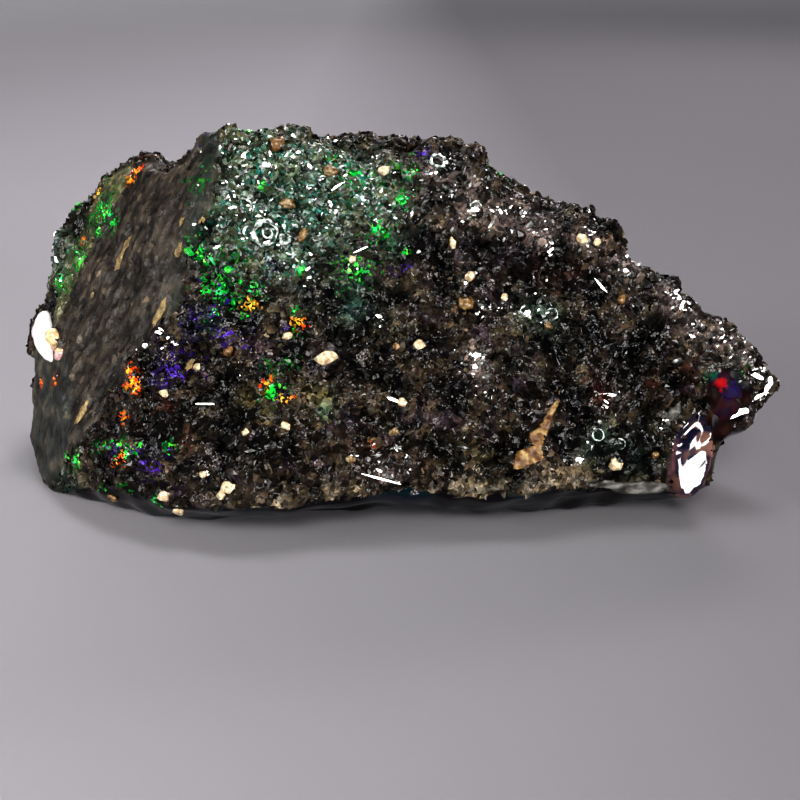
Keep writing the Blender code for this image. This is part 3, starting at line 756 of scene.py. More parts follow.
run = tuple(Matrix((STREAKS_RUN, STREAKS_ACROSS, STREAKS_DEEP)).to_euler())
left_colours = colours_by(tree, clouds_of(tree, 1.0, 4.0, (0.55, 2.6, 2.6), run, Roughness=0.65), (
    (0.32, (0.009, 0.0070, 0.0055)), (0.42, (0.030, 0.024, 0.018)), (0.54, (0.060, 0.048, 0.037)),
    (0.70, (0.115, 0.094, 0.069))))
specks = colours_by(tree, coarse["Pick"], (
    (0.0, (0.35, 0.35, 0.35)), (0.12, (0.8, 0.8, 0.8)), (0.5, (1.0, 1.0, 1.0)), (0.9, (1.5, 1.45, 1.35)),
    (0.98, (2.4, 2.2, 1.9))), stepped=True)
low_colours = colours_by(tree, clouds_of(tree, 0.9, 4.0), (
    (0.34, (0.014, 0.018, 0.017)), (0.46, (0.031, 0.036, 0.032)), (0.56, (0.050, 0.049, 0.038)),
    (0.68, (0.115, 0.102, 0.070))))
left_colours = tinted(tree, left_colours, specks)
left_colours = mix_colours(tree, share_of(tree, "low_face", 0.9), left_colours, low_colours)
left_colours = mix_colours(tree, share_of(tree, "edge", 0.75), left_colours, (0.010, 0.024, 0.018, 1.0))
surface = mix_colours(tree, mark_of(tree, "left_face"), surface, left_colours)

under_colours = colours_by(tree, clouds_of(tree, 3.0, 3.0), (
    (0.35, (0.004, 0.005, 0.008)), (0.5, (0.008, 0.008, 0.011)), (0.62, (0.006, 0.022, 0.030)),
    (0.72, (0.020, 0.012, 0.045))))
surface = mix_colours(tree, mark_of(tree, "underside"), surface, under_colours)
fire_here = arithmetic(tree, "MULTIPLY", fire["Fire"], levels_by(
    tree, mark_of(tree, "low_face"), 0.0, 1.0, 1.0, 0.25))
surface = mix_colours(tree, fire_here, surface, fire["Colour"])
gloss = levels_by(tree, coarse["Second Pick"], 0.0, 1.0, 0.12, 0.36)
dulled = arithmetic(tree, "ADD", gloss, share_of(tree, "left_face", 0.22))
# Painted shade darkens the colour in the hollows of the relief.
fill(tree, shader, {
    "Base Color": tinted(tree, surface, levels_by(tree, mark_of(tree, "painted_hollow_shade"), 0.0, 1.0, 1.0, 0.12)),
    "Emission Color": mix_colours(tree, fire_here, BLACK, fire["Colour"]), "Emission Strength": PAINTED_FIRE_GLOW,
    "Roughness": add(tree, "ShaderNodeMix", {0: polish, 2: dulled, 3: 0.07}).outputs[0],
    "Specular IOR Level": 0.25,
    "Normal": add(tree, "ShaderNodeBump", {"Strength": 0.35, "Distance": 0.06 * MM, "Height": tiny["Seam"],
                                           "Normal": coarse["Normal"]}).outputs[0]})

# Underneath, and under the tip, the opal broke like bottle glass: near black and polished by the break.
under_finish = clouded_finish("black_glass_break", 3.0, 3.0, (
    (0.35, (0.0015, 0.0015, 0.0025)), (0.5, (0.004, 0.003, 0.004)), (0.62, (0.002, 0.012, 0.017)),
    (0.72, (0.010, 0.005, 0.022))), {"Roughness": 0.14, "Specular IOR Level": 0.25})
clear_finish, tree, shader = new_finish("clear_opal_break")
flow = clouds_of(tree, 1.6, 3.0)
clear_colours = colours_by(tree, flow, (
    (0.36, (0.09, 0.045, 0.038)), (0.46, (0.008, 0.006, 0.016)), (0.54, (0.010, 0.010, 0.030)),
    (0.64, (0.16, 0.090, 0.070))))
edge_share = share_of(tree, "facet_edge", levels_by(tree, flow, 0.40, 0.62, 0.0, 1.0))
fill(tree, shader, {"Base Color": mix_colours(tree, edge_share, clear_colours, (0.30, 0.13, 0.11, 1.0)),
                    "Roughness": 0.06, "Coat Weight": 0.25, "Coat Roughness": 0.03})
tip_finish = clouded_finish("red_brown_glass", 1.1, 3.0, (
    (0.38, (0.003, 0.002, 0.003)), (0.5, (0.013, 0.004, 0.003)), (0.6, (0.034, 0.014, 0.010)),
    (0.7, (0.010, 0.007, 0.018))), {"Roughness": 0.3, "Specular IOR Level": 0.08})
chunk_mesh.materials.clear()
for finish in (chunk_finish, under_finish, clear_finish, tip_finish):
    chunk_mesh.materials.append(finish)
for polygon in chunk_mesh.polygons:
    corner = polygon.vertices[0]
    polygon.material_index = 2 if facet[corner] > 0.3 else 3 if clear[corner] > 0.5 else (
        1 if underside[corner] > 0.6 else 0)
chunk = link(bpy.data.objects.new("basalt_chunk", chunk_mesh))
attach(chunk, "root")
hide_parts("black_matrix_opal")
chunk_shell = shell_of(chunk_mesh)

# The largest grains are cream and tan pebbles of altered feldspar, rounded and a third to a half buried in
# the break. (x, y, z, half width, half height) in millimetres.
CREAM_GRAINS = (
    (-2.7, -7.0, 9.4, 0.52, 0.38), (-7.7, -10.4, 3.6, 0.36, 0.34), (-9.1, -9.7, 4.0, 0.22, 0.2),
    (-8.1, -10.5, 3.2, 0.21, 0.26), (4.8, -4.0, 12.9, 0.32, 0.27), (2.1, -6.2, 9.8, 0.30, 0.26),
    (12.6, -7.8, 3.6, 0.36, 0.36), (1.2, -8.0, 7.3, 0.26, 0.21), (-4.8, -8.8, 6.3, 0.31, 0.21),
    (0.2, -1.9, 18.1, 0.33, 0.27), (3.9, -3.2, 14.5, 0.20, 0.32), (10.9, -2.8, 14.6, 0.33, 0.28),
    (11.7, -2.7, 14.4, 0.22, 0.22), (-11.3, -7.3, 7.5, 0.21, 0.27), (-4.8, -6.4, 10.4, 0.30, 0.21),
    (-1.4, -4.5, 14.0, 0.21, 0.21), (-11.2, -9.8, 2.8, 0.30, 0.28), (-10.7, -9.0, 1.5, 0.36, 0.27),
    (6.7, -4.2, 11.8, 0.22, 0.22), (-6.9, -8.9, 6.0, 0.2, 0.16), (-9.5, -7.0, 8.9, 0.22, 0.2),
    (-4.0, 9.6, 6.4, 0.42, 0.34), (3.4, 8.2, 9.2, 0.34, 0.28), (8.6, 6.6, 5.6, 0.30, 0.34),
    (-11.6, 8.4, 7.0, 0.36, 0.30), (-15.2, 7.6, 9.0, 0.26, 0.30), (12.8, 4.6, 4.2, 0.30, 0.24),
    (0.2, 5.6, 14.6, 0.34, 0.28), (-7.2, 7.6, 14.2, 0.30, 0.24), (6.4, 4.6, 15.2, 0.26, 0.22),
)
TAN_GRAINS = (
    (-4.8, -3.5, 16.7, 0.44, 0.28), (-4.0, -4.1, 15.2, 0.22, 0.44), (0.9, -6.4, 9.8, 0.22, 0.20),
    (0.8, -8.6, 5.9, 0.30, 0.21), (4.6, -4.5, 11.5, 0.42, 0.42), (-14.7, -7.0, 1.2, 0.32, 0.23),
    (14.7, -7.6, 4.1, 0.22, 0.22), (-2.6, -2.1, 18.1, 0.42, 0.34), (-5.4, -1.8, 19.5, 0.46, 0.42),
    (8.9, -5.4, 10.6, 0.26, 0.2), (13.0, -3.9, 11.6, 0.24, 0.3), (-7.9, -6.6, 9.6, 0.34, 0.26),
    (-1.5, -9.2, 4.6, 0.26, 0.2), (-16.6, 5.8, 10.8, 0.3, 0.26), (5.6, 7.4, 8.0, 0.36, 0.3),
    (-3.0, 8.8, 11.6, 0.3, 0.26), (10.4, 3.4, 12.0, 0.3, 0.3),
)
GRAIN_DEPTH = 0.75
# A spot further than this from where the camera sees it is hidden behind the front of the chunk.
SEAT_REACH = 1.5 * MM
taken = []


def sighted(spot):
    """A spot in metres, and where the line of sight to it meets the chunk."""
    target = Vector(spot[:3]) * MM
    return target, chunk_shell.ray_cast(CAMERA_PLACE, (target - CAMERA_PLACE).normalized())[0]


def seat(spot):
    """Where a spot lies on the chunk as the camera sees it, with the ways right, up and out from there."""
    target, met = sighted(spot)
    if met is None or (met - target).length > SEAT_REACH:
        met = chunk_shell.find_nearest(target)[0]
    out = base_shell.find_nearest(met)[1]
    right = (Vector((1.0, 0.0, 0.0)) - out * out.x)
    if right.length < 0.2:
        right = Vector((0.0, 1.0, 0.0)) - out * out.y
    right.normalize()
    up = out.cross(right)
    if up.z < 0.0:
        up = -up
        right = -right
    return met, right, up, out


def out_of_sight(spot):
    """Whether the front of the chunk hides a spot from the camera."""
    target, met = sighted(spot)
    return met is not None and (target - CAMERA_PLACE).length - (met - CAMERA_PLACE).length > SEAT_REACH


def swung(first, second, angle):
    """A way that turns from the first towards the second."""
    return first * math.cos(angle) + second * math.sin(angle)


def place_piece(name, mesh, smooth):
    """Makes a piece of the chunk from a mesh."""
    for polygon in mesh.polygons:
        polygon.use_smooth = smooth
    piece = link(bpy.data.objects.new(name, mesh))
    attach(piece, "root")


def place_shape(name, shape, finish, smooth=True):
    """Makes a piece of the chunk from a finished shape, with its faces turned outwards."""
    bmesh.ops.recalc_face_normals(shape, faces=shape.faces)
    mesh = bpy.data.meshes.new(name)
    shape.to_mesh(mesh)
    shape.free()
    mesh.materials.append(finish)
    place_piece(name, mesh, smooth)


def add_pebble(shape, spot, depth, seed, bumps, stand=0.25, upright=False):
    """One rounded grain, part buried in the chunk."""
    met, right, up, out = seat(spot)
    wide, high = spot[3:]
    if upright:
        right, up, out = Vector((1.0, 0.0, 0.0)), Vector((0.0, 0.39, 0.92)), Vector((0.0, -0.92, 0.39))
    deep = depth * min(wide, high)
    shift = Vector((seed * 3.7, seed * 1.9, seed * 5.3))
    turn = math.radians((seed * 47) % 60 - 30)
    across = swung(right, up, turn)
    along = swung(up, -right, turn)
    for vertex in bmesh.ops.create_icosphere(shape, subdivisions=2, radius=1.0)["verts"]:
        way = vertex.co.copy()
        size = 1.0 + bumps * noise.noise(way * 1.2 + shift) + 0.4 * bumps * noise.noise(way * 3.1 + shift)
        way *= size * MM
        vertex.co = met + across * way.x * wide + along * way.y * high + out * (way.z + stand * MM) * deep
    taken.append((*(met / MM), max(wide, high) * 0.8))


cream_finish, tree, shader = new_finish("cream_feldspar")
mottle = clouds_of(tree, 0.22, 3.0)
creams = colours_by(tree, mottle, (
    (0.3, (0.30, 0.20, 0.11)), (0.45, (0.55, 0.43, 0.27)), (0.6, (0.78, 0.66, 0.46)),
    (0.72, (0.88, 0.80, 0.62))))
fill(tree, shader, {"Base Color": creams, "Roughness": levels_by(tree, mottle, 0.3, 0.7, 0.28, 0.5),
                    "Coat Weight": 0.15, "Coat Roughness": 0.1})
creams = bmesh.new()
far_grains = tuple(spot for spot in strewn(14, (0.18, 0.42), (0.16, 0.34)) if out_of_sight(spot))
for seed, spot in enumerate(CREAM_GRAINS + far_grains):
    add_pebble(creams, spot, GRAIN_DEPTH, seed + 1, bumps=0.5)
place_shape("cream_grains", creams, cream_finish)

tan_finish, tree, shader = new_finish("tan_feldspar")
mottle = clouds_of(tree, 0.2, 3.0)
tans = colours_by(tree, mottle, (
    (0.3, (0.050, 0.024, 0.010)), (0.45, (0.15, 0.095, 0.042)), (0.58, (0.27, 0.20, 0.10)),
    (0.72, (0.46, 0.38, 0.23))))
warmth = colours_by(tree, clouds_of(tree, 2.2, 0.0), (
    (0.42, (1.0, 1.0, 1.0)), (0.50, (0.75, 0.55, 0.38)), (0.58, (0.95, 0.85, 0.7))))
fill(tree, shader, {"Base Color": tinted(tree, tans, warmth),
                    "Roughness": levels_by(tree, mottle, 0.3, 0.7, 0.2, 0.45),
                    "Coat Weight": 0.2, "Coat Roughness": 0.1})
tans = bmesh.new()
far_grains = tuple(spot for spot in strewn(10, (0.18, 0.44), (0.18, 0.36)) if out_of_sight(spot))
for seed, spot in enumerate(TAN_GRAINS + far_grains):
    add_pebble(tans, spot, GRAIN_DEPTH, seed + 40, bumps=0.55)
place_shape("tan_grains", tans, tan_finish)

# Tan flecks lie along the streaks of the brown face at the left: thin lenses of weathered feldspar, level
# with the break. (x, y, z, half width, half length) in millimetres.
TAN_FLECKS = (
    (-16.5, -4.9, 5.4, 0.31, 0.88), (-11.7, -4.9, 11.2, 0.27, 0.98), (-14.2, -0.8, 13.7, 0.27, 0.8),
    (-14.6, -1.1, 12.9, 0.3, 0.62), (-10.5, -3.3, 15.7, 0.16, 0.33), (-9.3, -3.8, 15.9, 0.16, 0.27),
    (-10.7, -3.8, 14.3, 0.22, 0.44), (-16.4, -0.7, 10.8, 0.14, 0.24), (-10.1, -6.0, 8.6, 0.22, 0.44),
)
FLECK_RINGS = 5
FLECK_SIDES = 22
FLECK_LIFT = 0.05
LENS_DEPTH = 0.25
# A point of a lens is let down onto the chunk from this high, over this far.
LENS_DROP = (0.8, 2.0)


def dropped(start, out, above, reach):
    """Where a point that is let down along out from this far above meets the chunk, or else the point."""
    return chunk_shell.ray_cast(start + out * above * MM, -out, reach * MM)[0] or start


def round_about(number):
    """This many angles, evenly round a circle."""
    return [2.0 * math.pi * part / number for part in range(number)]


def add_lens(shape, spot, along, lift, ragged, seed):
    """One thin lens lying on the chunk, its edge just under the surface, closed underneath."""
    met, _, _, out = seat(spot)
    half_width, half_length = spot[3:]
    along = (along - out * along.dot(out)).normalized()
    across = along.cross(out)
    rings = []
    for ring in range(1, FLECK_RINGS + 1):
        reach = ring / FLECK_RINGS
        row = []
        for angle in round_about(FLECK_SIDES):
            rag = Vector((math.cos(angle) * 2.0, math.sin(angle) * 2.0, seed * 3.1))
            rag = 1.0 + ragged * noise.noise(rag)
            flat = across * math.cos(angle) * half_width + along * math.sin(angle) * half_length
            onto = dropped(met + flat * (reach * rag * MM), out, *LENS_DROP)
            height = lift * (1.0 - reach ** 2) ** 0.5 - 0.04 * reach ** 4
            row.append(shape.verts.new(onto + out * height * MM))
        rings.append(row)
    onto = dropped(met, out, *LENS_DROP)
    top = shape.verts.new(onto + out * lift * MM)
    below = shape.verts.new(onto - out * LENS_DEPTH * MM)
    for side in range(FLECK_SIDES):
        after = (side + 1) % FLECK_SIDES
        shape.faces.new((top, rings[0][side], rings[0][after]))
        shape.faces.new((below, rings[-1][after], rings[-1][side]))
        for inner, outer in zip(rings, rings[1:]):
            shape.faces.new((inner[side], outer[side], outer[after], inner[after]))


fleck_finish = clouded_finish("weathered_feldspar", 0.35, 5.0, (
    (0.32, (0.060, 0.042, 0.020)), (0.45, (0.17, 0.12, 0.052)), (0.58, (0.33, 0.24, 0.10)),
    (0.72, (0.50, 0.38, 0.18))), {"Roughness": 0.55}, Roughness=0.7)
flecks = bmesh.new()
for seed, spot in enumerate(TAN_FLECKS):
    add_lens(flecks, spot, STREAKS_RUN, FLECK_LIFT, 0.5, seed)
place_shape("tan_flecks", flecks, fleck_finish)

# One ochre vein runs down the front like a flame, from a thin tip to a broad foot. It fills an old crack and
# stands a little proud. Its left and right edges, each (x, y, z) in millimetres, from the tip down.
VEIN = (
    ((9.46, -6.76, 7.44), (9.57, -6.74, 7.43)), ((9.34, -6.89, 6.97), (9.58, -6.84, 6.95)),
    ((9.16, -6.96, 6.72), (9.54, -6.90, 6.69)), ((8.89, -7.10, 6.37), (9.35, -7.05, 6.35)),
    ((8.71, -7.26, 5.98), (9.22, -7.22, 5.96)), ((8.46, -7.43, 5.65), (9.08, -7.41, 5.64)),
    ((7.93, -7.59, 5.37), (8.94, -7.58, 5.37)), ((7.92, -7.82, 5.07), (8.79, -7.81, 5.06)),
    ((8.17, -8.05, 4.83), (8.67, -8.03, 4.82)), ((7.38, -8.13, 4.69), (8.74, -8.15, 4.70)),
    ((7.18, -8.37, 4.45), (8.74, -8.34, 4.44)), ((7.09, -8.56, 4.25), (8.68, -8.49, 4.22)),
    ((7.03, -8.71, 4.03), (8.03, -8.68, 4.02)), ((7.03, -8.83, 3.86), (7.39, -8.83, 3.86)),
)
BAND_STEPS = 6
BAND_ACROSS = 11
BAND_DEPTH = 0.35
BAND_DROP = (1.2, 2.4)
VEIN_LIFT = 0.12


def join_loops(shape, loops):
    """Lays the skin between loops of points, from each to the next."""
    for loop, after in zip(loops, loops[1:]):
        for part in range(len(loop)):
            other = (part + 1) % len(loop)
            shape.faces.new((loop[part], loop[other], after[other], after[part]))


def add_band(shape, edges, lift, ragged, lumps, seed):
    """A band on the chunk between two edges, highest in its middle and closed underneath."""
    pairs = []
    for (left, right), (next_left, next_right) in zip(edges, edges[1:]):
        for step in range(BAND_STEPS):
            share = step / BAND_STEPS
            pairs.append((Vector(left).lerp(Vector(next_left), share),
                          Vector(right).lerp(Vector(next_right), share)))
    pairs.append((Vector(edges[-1][0]), Vector(edges[-1][1])))
    rows = []
    for index, (left, right) in enumerate(pairs):
        middle, half = (left + right) / 2.0, (right - left) / 2.0
        met, _, _, out = seat(middle)
        row = []
        for step in range(BAND_ACROSS):
            side = 2.0 * step / (BAND_ACROSS - 1) - 1.0
            rag = 1.0 + ragged * noise.noise(Vector((index * 0.38, math.copysign(4.0, side), seed)))
            start = (middle + half * side * rag) * MM
            height = lift * (1.0 - side ** 4) * (1.0 + lumps * noise.noise(start / MM / 0.35)) - 0.03
            onto = dropped(start, out, *BAND_DROP).lerp(start, 0.55)
            row.append(shape.verts.new(onto + out * height * MM))
        row.append(shape.verts.new(met - out * BAND_DEPTH * MM))
        rows.append(row)
        taken.append((*(met / MM), half.length * 0.9))
    join_loops(shape, rows)
    shape.faces.new(rows[0])
    shape.faces.new(rows[-1])


vein_finish, tree, shader = new_finish("ochre_vein")
grit = clouds_of(tree, 0.5, 4.0, Roughness=0.6)
vein_colours = colours_by(tree, grit, (
    (0.34, (0.040, 0.012, 0.005)), (0.43, (0.11, 0.045, 0.013)), (0.53, (0.21, 0.120, 0.038)),
    (0.66, (0.42, 0.31, 0.14))))
vein_relief = add(tree, "ShaderNodeBump", {"Strength": 0.5, "Distance": 0.06 * MM, "Height": grit}).outputs[0]
fill(tree, shader, {"Base Color": vein_colours, "Normal": vein_relief, "Roughness": 0.42})
vein = bmesh.new()
add_band(vein, VEIN, VEIN_LIFT, 0.3, 0.3, 1.0)
place_shape("ochre_vein", vein, vein_finish)

# Gas bubbles that opal has lined: glassy rings and broken arcs of rings, standing a hair proud of the break.
# Their opal lining is pale, and is made near white as painted highlight.
# (x, y, z, radius, thickness, first degree, last degree) in millimetres and degrees.
BUBBLE_RINGS = (
    (-5.9, -4.1, 15.3, 0.64, 0.17, 60, 250), (-5.9, -4.1, 15.3, 0.58, 0.08, 0, 360),
    (-5.85, -4.1, 15.3, 0.25, 0.07, 0, 360), (-4.9, -4.2, 15.0, 0.24, 0.14, 0, 360),
    (-6.75, -4.0, 15.3, 0.34, 0.08, 100, 250), (-7.1, -3.8, 16.6, 0.45, 0.06, 0, 100),
    (3.1, -1.5, 18.5, 0.38, 0.08, 20, 330), (1.0, -9.0, 4.6, 0.66, 0.05, -40, 60),
    (11.6, -7.5, 5.2, 0.30, 0.05, 0, 360),
    (12.8, -7.5, 4.7, 0.28, 0.05, -80, 100), (5.1, -2.4, 16.2, 0.34, 0.06, 20, 200),
    (7.8, -4.9, 11.2, 0.34, 0.07, 100, 300), (-3.0, -2.7, 17.7, 0.26, 0.05, 60, 240),
    (9.2, -4.6, 11.0, 0.30, 0.06, -40, 120), (6.2, 6.8, 9.6, 0.36, 0.08, 0, 360),
    (-6.4, 8.8, 10.4, 0.4, 0.08, 20, 330),
)
RING_FADE = math.radians(25.0)
RING_SIDES = 36
RING_ROUND = 8
RING_DROP = (0.6, 1.2)
RING_STANDS = 0.12

GLASS_COAT = {"Coat Weight": 1.0, "Coat Roughness": 0.03}
bubble_finish = clouded_finish("opal_lining_painted_highlight", 0.3, 3.0, (
    (0.38, (0.06, 0.08, 0.07)), (0.48, (0.35, 0.42, 0.38)), (0.6, (0.80, 0.86, 0.82))),
    {"Roughness": 0.08, **GLASS_COAT})
rings = bmesh.new()
for seed, (x, y, z, radius, thickness, first, last) in enumerate(BUBBLE_RINGS):
    met, right, up, out = seat((x, y, z))
    middle_way, half_way = math.radians((first + last) / 2.0), math.radians((last - first) / 2.0)
    loops = []
    for angle in round_about(RING_SIDES):
        way = swung(right, up, angle)
        wander = noise.noise(Vector((math.cos(angle) * 1.5, math.sin(angle) * 1.5, seed * 2.3)))
        beyond = abs(math.remainder(angle - middle_way, 2.0 * math.pi)) - half_way
        there = min(max(1.0 - beyond / RING_FADE, 0.12), 1.0)
        thick = there * thickness * (0.75 + 0.9 * noise.noise(Vector((angle * 1.6, seed * 4.1, 0.0))))
        start = met + (way * (radius * (1.0 + 0.16 * wander)) - out * 0.2 * (1.0 - there)) * MM
        onto = dropped(start, out, *RING_DROP).lerp(start, 0.85)
        onto += out * (RING_STANDS - 0.3 * (1.0 - there)) * MM
        loops.append([rings.verts.new(
            onto + (way * math.cos(bend) + out * (math.sin(bend) + 0.25)) * thick * MM)
            for bend in round_about(RING_ROUND)])
    join_loops(rings, loops + loops[:1])
    taken.append((*(met / MM), radius * 0.9))
place_shape("bubble_rings", rings, bubble_finish)

# Splinters of clear glass lie loose on the break. Each has one broad cleaved face. The first of them lean so
# that they flash, the dull ones don't. (x, y, z, half length, half width, turn in degrees) in millimetres.
SPLINTERS = (
    (0.1, -9.5, 3.6, 1.0, 0.16, -16), (-9.1, -8.0, 7.2, 0.53, 0.11, 0), (0.8, -7.7, 7.3, 0.42, 0.14, -20),
    (11.9, -3.7, 12.3, 0.55, 0.10, -50), (10.5, -8.1, 4.05, 0.32, 0.14, 0), (12.3, -6.5, 7.1, 0.40, 0.12, -8),
    (-1.0, -4.2, 14.4, 0.42, 0.08, 25), (-2.2, -2.5, 17.4, 0.36, 0.13, 35), (-5.9, -2.5, 18.5, 0.30, 0.12, 0),
    (19.3, -6.2, 5.8, 0.62, 0.34, 20), (20.5, -5.3, 6.4, 0.52, 0.26, 10), (21.15, -5.1, 7.1, 0.56, 0.26, 80),
    (20.3, -5.3, 7.75, 0.45, 0.20, -35),
    (15.9, -4.1, 11.8, 0.30, 0.20, -30), (16.3, -4.0, 11.3, 0.26, 0.18, 60),
    (5.0, -2.5, 16.1, 0.30, 0.22, 10), (9.1, -3.5, 14.2, 0.24, 0.18, 30),
    (5.1, -6.7, 9.4, 0.24, 0.18, 0), (7.8, -5.0, 11.1, 0.30, 0.2, 40),
)
DULL_SPLINTERS = (
    (-3.1, -4.1, 15.0, 0.4, 0.1, 25), (5.4, -3.7, 13.2, 0.28, 0.16, 30), (-0.1, -9.1, 4.8, 0.36, 0.14, 15),
    (-7.1, -2.6, 18.2, 0.33, 0.12, 35), (-3.7, -2.5, 18.3, 0.34, 0.12, 20), (8.6, -4.3, 11.7, 0.32, 0.14, 60),
    (12.3, -7.5, 4.9, 0.33, 0.13, 10), (6.0, -2.6, 15.4, 0.3, 0.12, 50), (3.6, -2.2, 17.2, 0.30, 0.12, -30),
    (8.0, -2.2, 15.2, 0.3, 0.14, 35), (9.8, -2.6, 14.0, 0.3, 0.13, 0), (12.2, -5.2, 9.4, 0.3, 0.12, 25),
    (-8.0, -3.4, 17.4, 0.3, 0.12, 60), (-5.1, -3.1, 17.3, 0.32, 0.12, -25), (-2.0, -2.8, 17.2, 0.3, 0.11, 15),
    (-6.9, -3.9, 15.6, 0.3, 0.12, -35), (-2.4, -7.9, 8.2, 0.3, 0.12, 10), (5.6, -6.6, 8.2, 0.3, 0.10, 20),
    (-6.6, -9.4, 5.2, 0.3, 0.12, 5), (4.4, -8.6, 5.0, 0.3, 0.11, -10), (15.9, -5.4, 8.6, 0.3, 0.13, 30),
    (-2.0, 8.4, 10.2, 0.5, 0.16, 20), (8.2, 6.2, 8.0, 0.5, 0.14, -30), (-13.0, 8.2, 8.0, 0.5, 0.16, 50),
)
# Flakes of the same glass lie thick where the break glitters: this many for each millimetre of its radius.
FLAKES_IN_THE_HAZE = 17
FLAKES_IN_A_GLINT = 10
FLAKES_IN_THE_RIM_LIGHT = 9
FLAKE_SIZES = (0.045, 0.115)
# A splinter narrows to this share of its width. It stands this high and reaches this deep, in millimetres.
SPLINTER_NARROWED = 0.75
SPLINTER_STANDS = (0.10, 0.28)
FLAKE_STANDS = (0.07, 0.12)
# How far a face leans by chance: of a dull splinter or flake, of a flashing flake and of a flashing splinter.
DULL_LEAN = 0.55
FLAKE_LEAN = 0.11
SPLINTER_LEAN = 0.04
# The outline of a splinter: how far along it and how wide, of its half length and half width.
SPLINTER_OUTLINE = ((-1.0, 0.15), (-0.5, 0.85), (0.2, 1.0), (0.8, 0.6), (1.0, 0.1))

splinter_finish = clouded_finish("clear_splinter", 0.4, 2.0, (
    (0.4, (0.03, 0.035, 0.033)), (0.55, (0.16, 0.17, 0.16)), (0.7, (0.5, 0.52, 0.5))),
    {"Roughness": 0.12, "Specular IOR Level": 1.0, "Coat Weight": 1.0, "Coat Roughness": 0.05})
splinters = bmesh.new()
chance = random.Random(11)
flakes = []
for spots, thick in ((HAZE_SPOTS, FLAKES_IN_THE_HAZE), (GLINT_SPOTS, FLAKES_IN_A_GLINT),
                     (PAINTED_RIM_LIGHT_SPOTS, FLAKES_IN_THE_RIM_LIGHT)):
    for x, y, z, radius in spots:
        for _ in range(int(thick * radius + 0.5)):
            spot = [value + chance.gauss(0.0, 0.5) * radius for value in (x, y, z)]
            size = chance.uniform(*FLAKE_SIZES) + 0.12 * chance.random() ** 5
            flakes.append((*spot, size, size * chance.uniform(0.5, 1.1), chance.gauss(15, 45)))
laid_by_hand = SPLINTERS + DULL_SPLINTERS
for seed, (x, y, z, half_length, half_width, turn) in enumerate(laid_by_hand + tuple(flakes)):
    met, right, up, out = seat((x, y, z))
    small = seed >= len(laid_by_hand)
    flashes = seed < len(SPLINTERS) or (small and chance.random() < 0.5)
    if small and out.dot(CAMERA_PLACE - met) < 0.0:
        flashes = False
    to_the_light = (Vector(SOFT_BOXES[0][1]) - met).normalized()
    flash = (to_the_light + (CAMERA_PLACE - met).normalized()).normalized()
    lean = Vector([chance.uniform(-1.0, 1.0) for _ in range(3)]) * (
        DULL_LEAN if not flashes else FLAKE_LEAN if small else SPLINTER_LEAN)
    face = (flash * (1.0 if flashes else 0.25) + lean + out * (0.0 if flashes else 0.5)).normalized()
    half_width *= SPLINTER_NARROWED
    along = swung(right, up, math.radians(turn))
    along = (along - face * along.dot(face)).normalized()
    across = face.cross(along)
    sides = []
    for place, wide in SPLINTER_OUTLINE:
        sides.append((place + chance.uniform(-0.15, 0.15), wide * chance.uniform(0.5, 1.2),
                      wide * chance.uniform(0.3, 1.2)))
    edge = [(place, wide) for place, wide, _ in sides]
    edge += [(place, -wide) for place, _, wide in reversed(sides)]
    stand, deep = FLAKE_STANDS if small else SPLINTER_STANDS
    tops = [splinters.verts.new(met + (along * a * half_length + across * b * half_width + face * stand) * MM)
            for a, b in edge]
    feet = [splinters.verts.new(met + (along * a * half_length * 0.9 + across * b * half_width * 1.3
                                       - face * deep) * MM) for a, b in edge]
    splinters.faces.new(tops)
    splinters.faces.new(list(reversed(feet)))
    for index in range(len(edge)):
        after = (index + 1) % len(edge)
        splinters.faces.new((tops[index], feet[index], feet[after], tops[after]))
    if not small:
        taken.append((x, y, z, half_width))
place_shape("glass_splinters", splinters, splinter_finish, smooth=False)

# A knob of milky opal stands out at the far left, with an amber side. It is a smooth swelling of the seam
# that the break went round. It runs from its top end round a bend to its low end. Its near-white colour is
# partly painted highlight, and it gives off a faint white painted glow.
MILKY_KNOB = (Vector((-19.75, 1.4, 9.2)), Vector((-20.4, 0.6, 7.8)), Vector((-18.4, -0.75, 6.45)))
KNOB_HALF_WIDTH = 0.66
KNOB_LOOPS = 13
KNOB_ROUND = 18
KNOB_DENTS = 0.10
# The amber side: three low swellings, (x, y, z, half width, half height) in millimetres, rosy further down.
AMBER_SIDE = (
    (-19.16, -0.1, 8.08, 0.42, 0.52), (-19.0, -0.25, 7.68, 0.34, 0.42), (-18.72, -0.52, 7.15, 0.36, 0.38),
)
ROSY_BELOW = (7.5 * MM, 7.8 * MM)
knob_glow_finish = clouded_finish(
    "milky_opal_painted_glow", 0.9, 2.0, ((0.35, (0.62, 0.60, 0.60)), (0.6, (0.90, 0.89, 0.88))),
    {"Roughness": 0.12, **GLASS_COAT, "Emission Color": (1.0, 1.0, 1.0, 1.0), "Emission Strength": 0.15})
knob = bmesh.new()
loops = []
top_end, bend_at, low_end = MILKY_KNOB
for index in range(1, KNOB_LOOPS):
    share = 0.5 - 0.5 * math.cos(math.pi * index / KNOB_LOOPS)
    upper, lower = top_end.lerp(bend_at, share), bend_at.lerp(low_end, share)
    middle, run = upper.lerp(lower, share), upper - lower
    side_way = run.cross(Vector((0.0, 1.0, 0.0))).normalized()
    out = side_way.cross(run).normalized()
    half = KNOB_HALF_WIDTH * math.sin(math.pi * share) ** 0.6
    loops.append([knob.verts.new(
        (middle + (side_way * math.cos(bend) + out * math.sin(bend) * 1.5) * half) * MM)
        for bend in round_about(KNOB_ROUND)])
join_loops(knob, loops)
knob.faces.new(loops[0])
knob.faces.new(loops[-1])
bmesh.ops.subdivide_edges(knob, edges=knob.edges[:], cuts=1, use_grid_fill=True, smooth=1.0)
knob.normal_update()
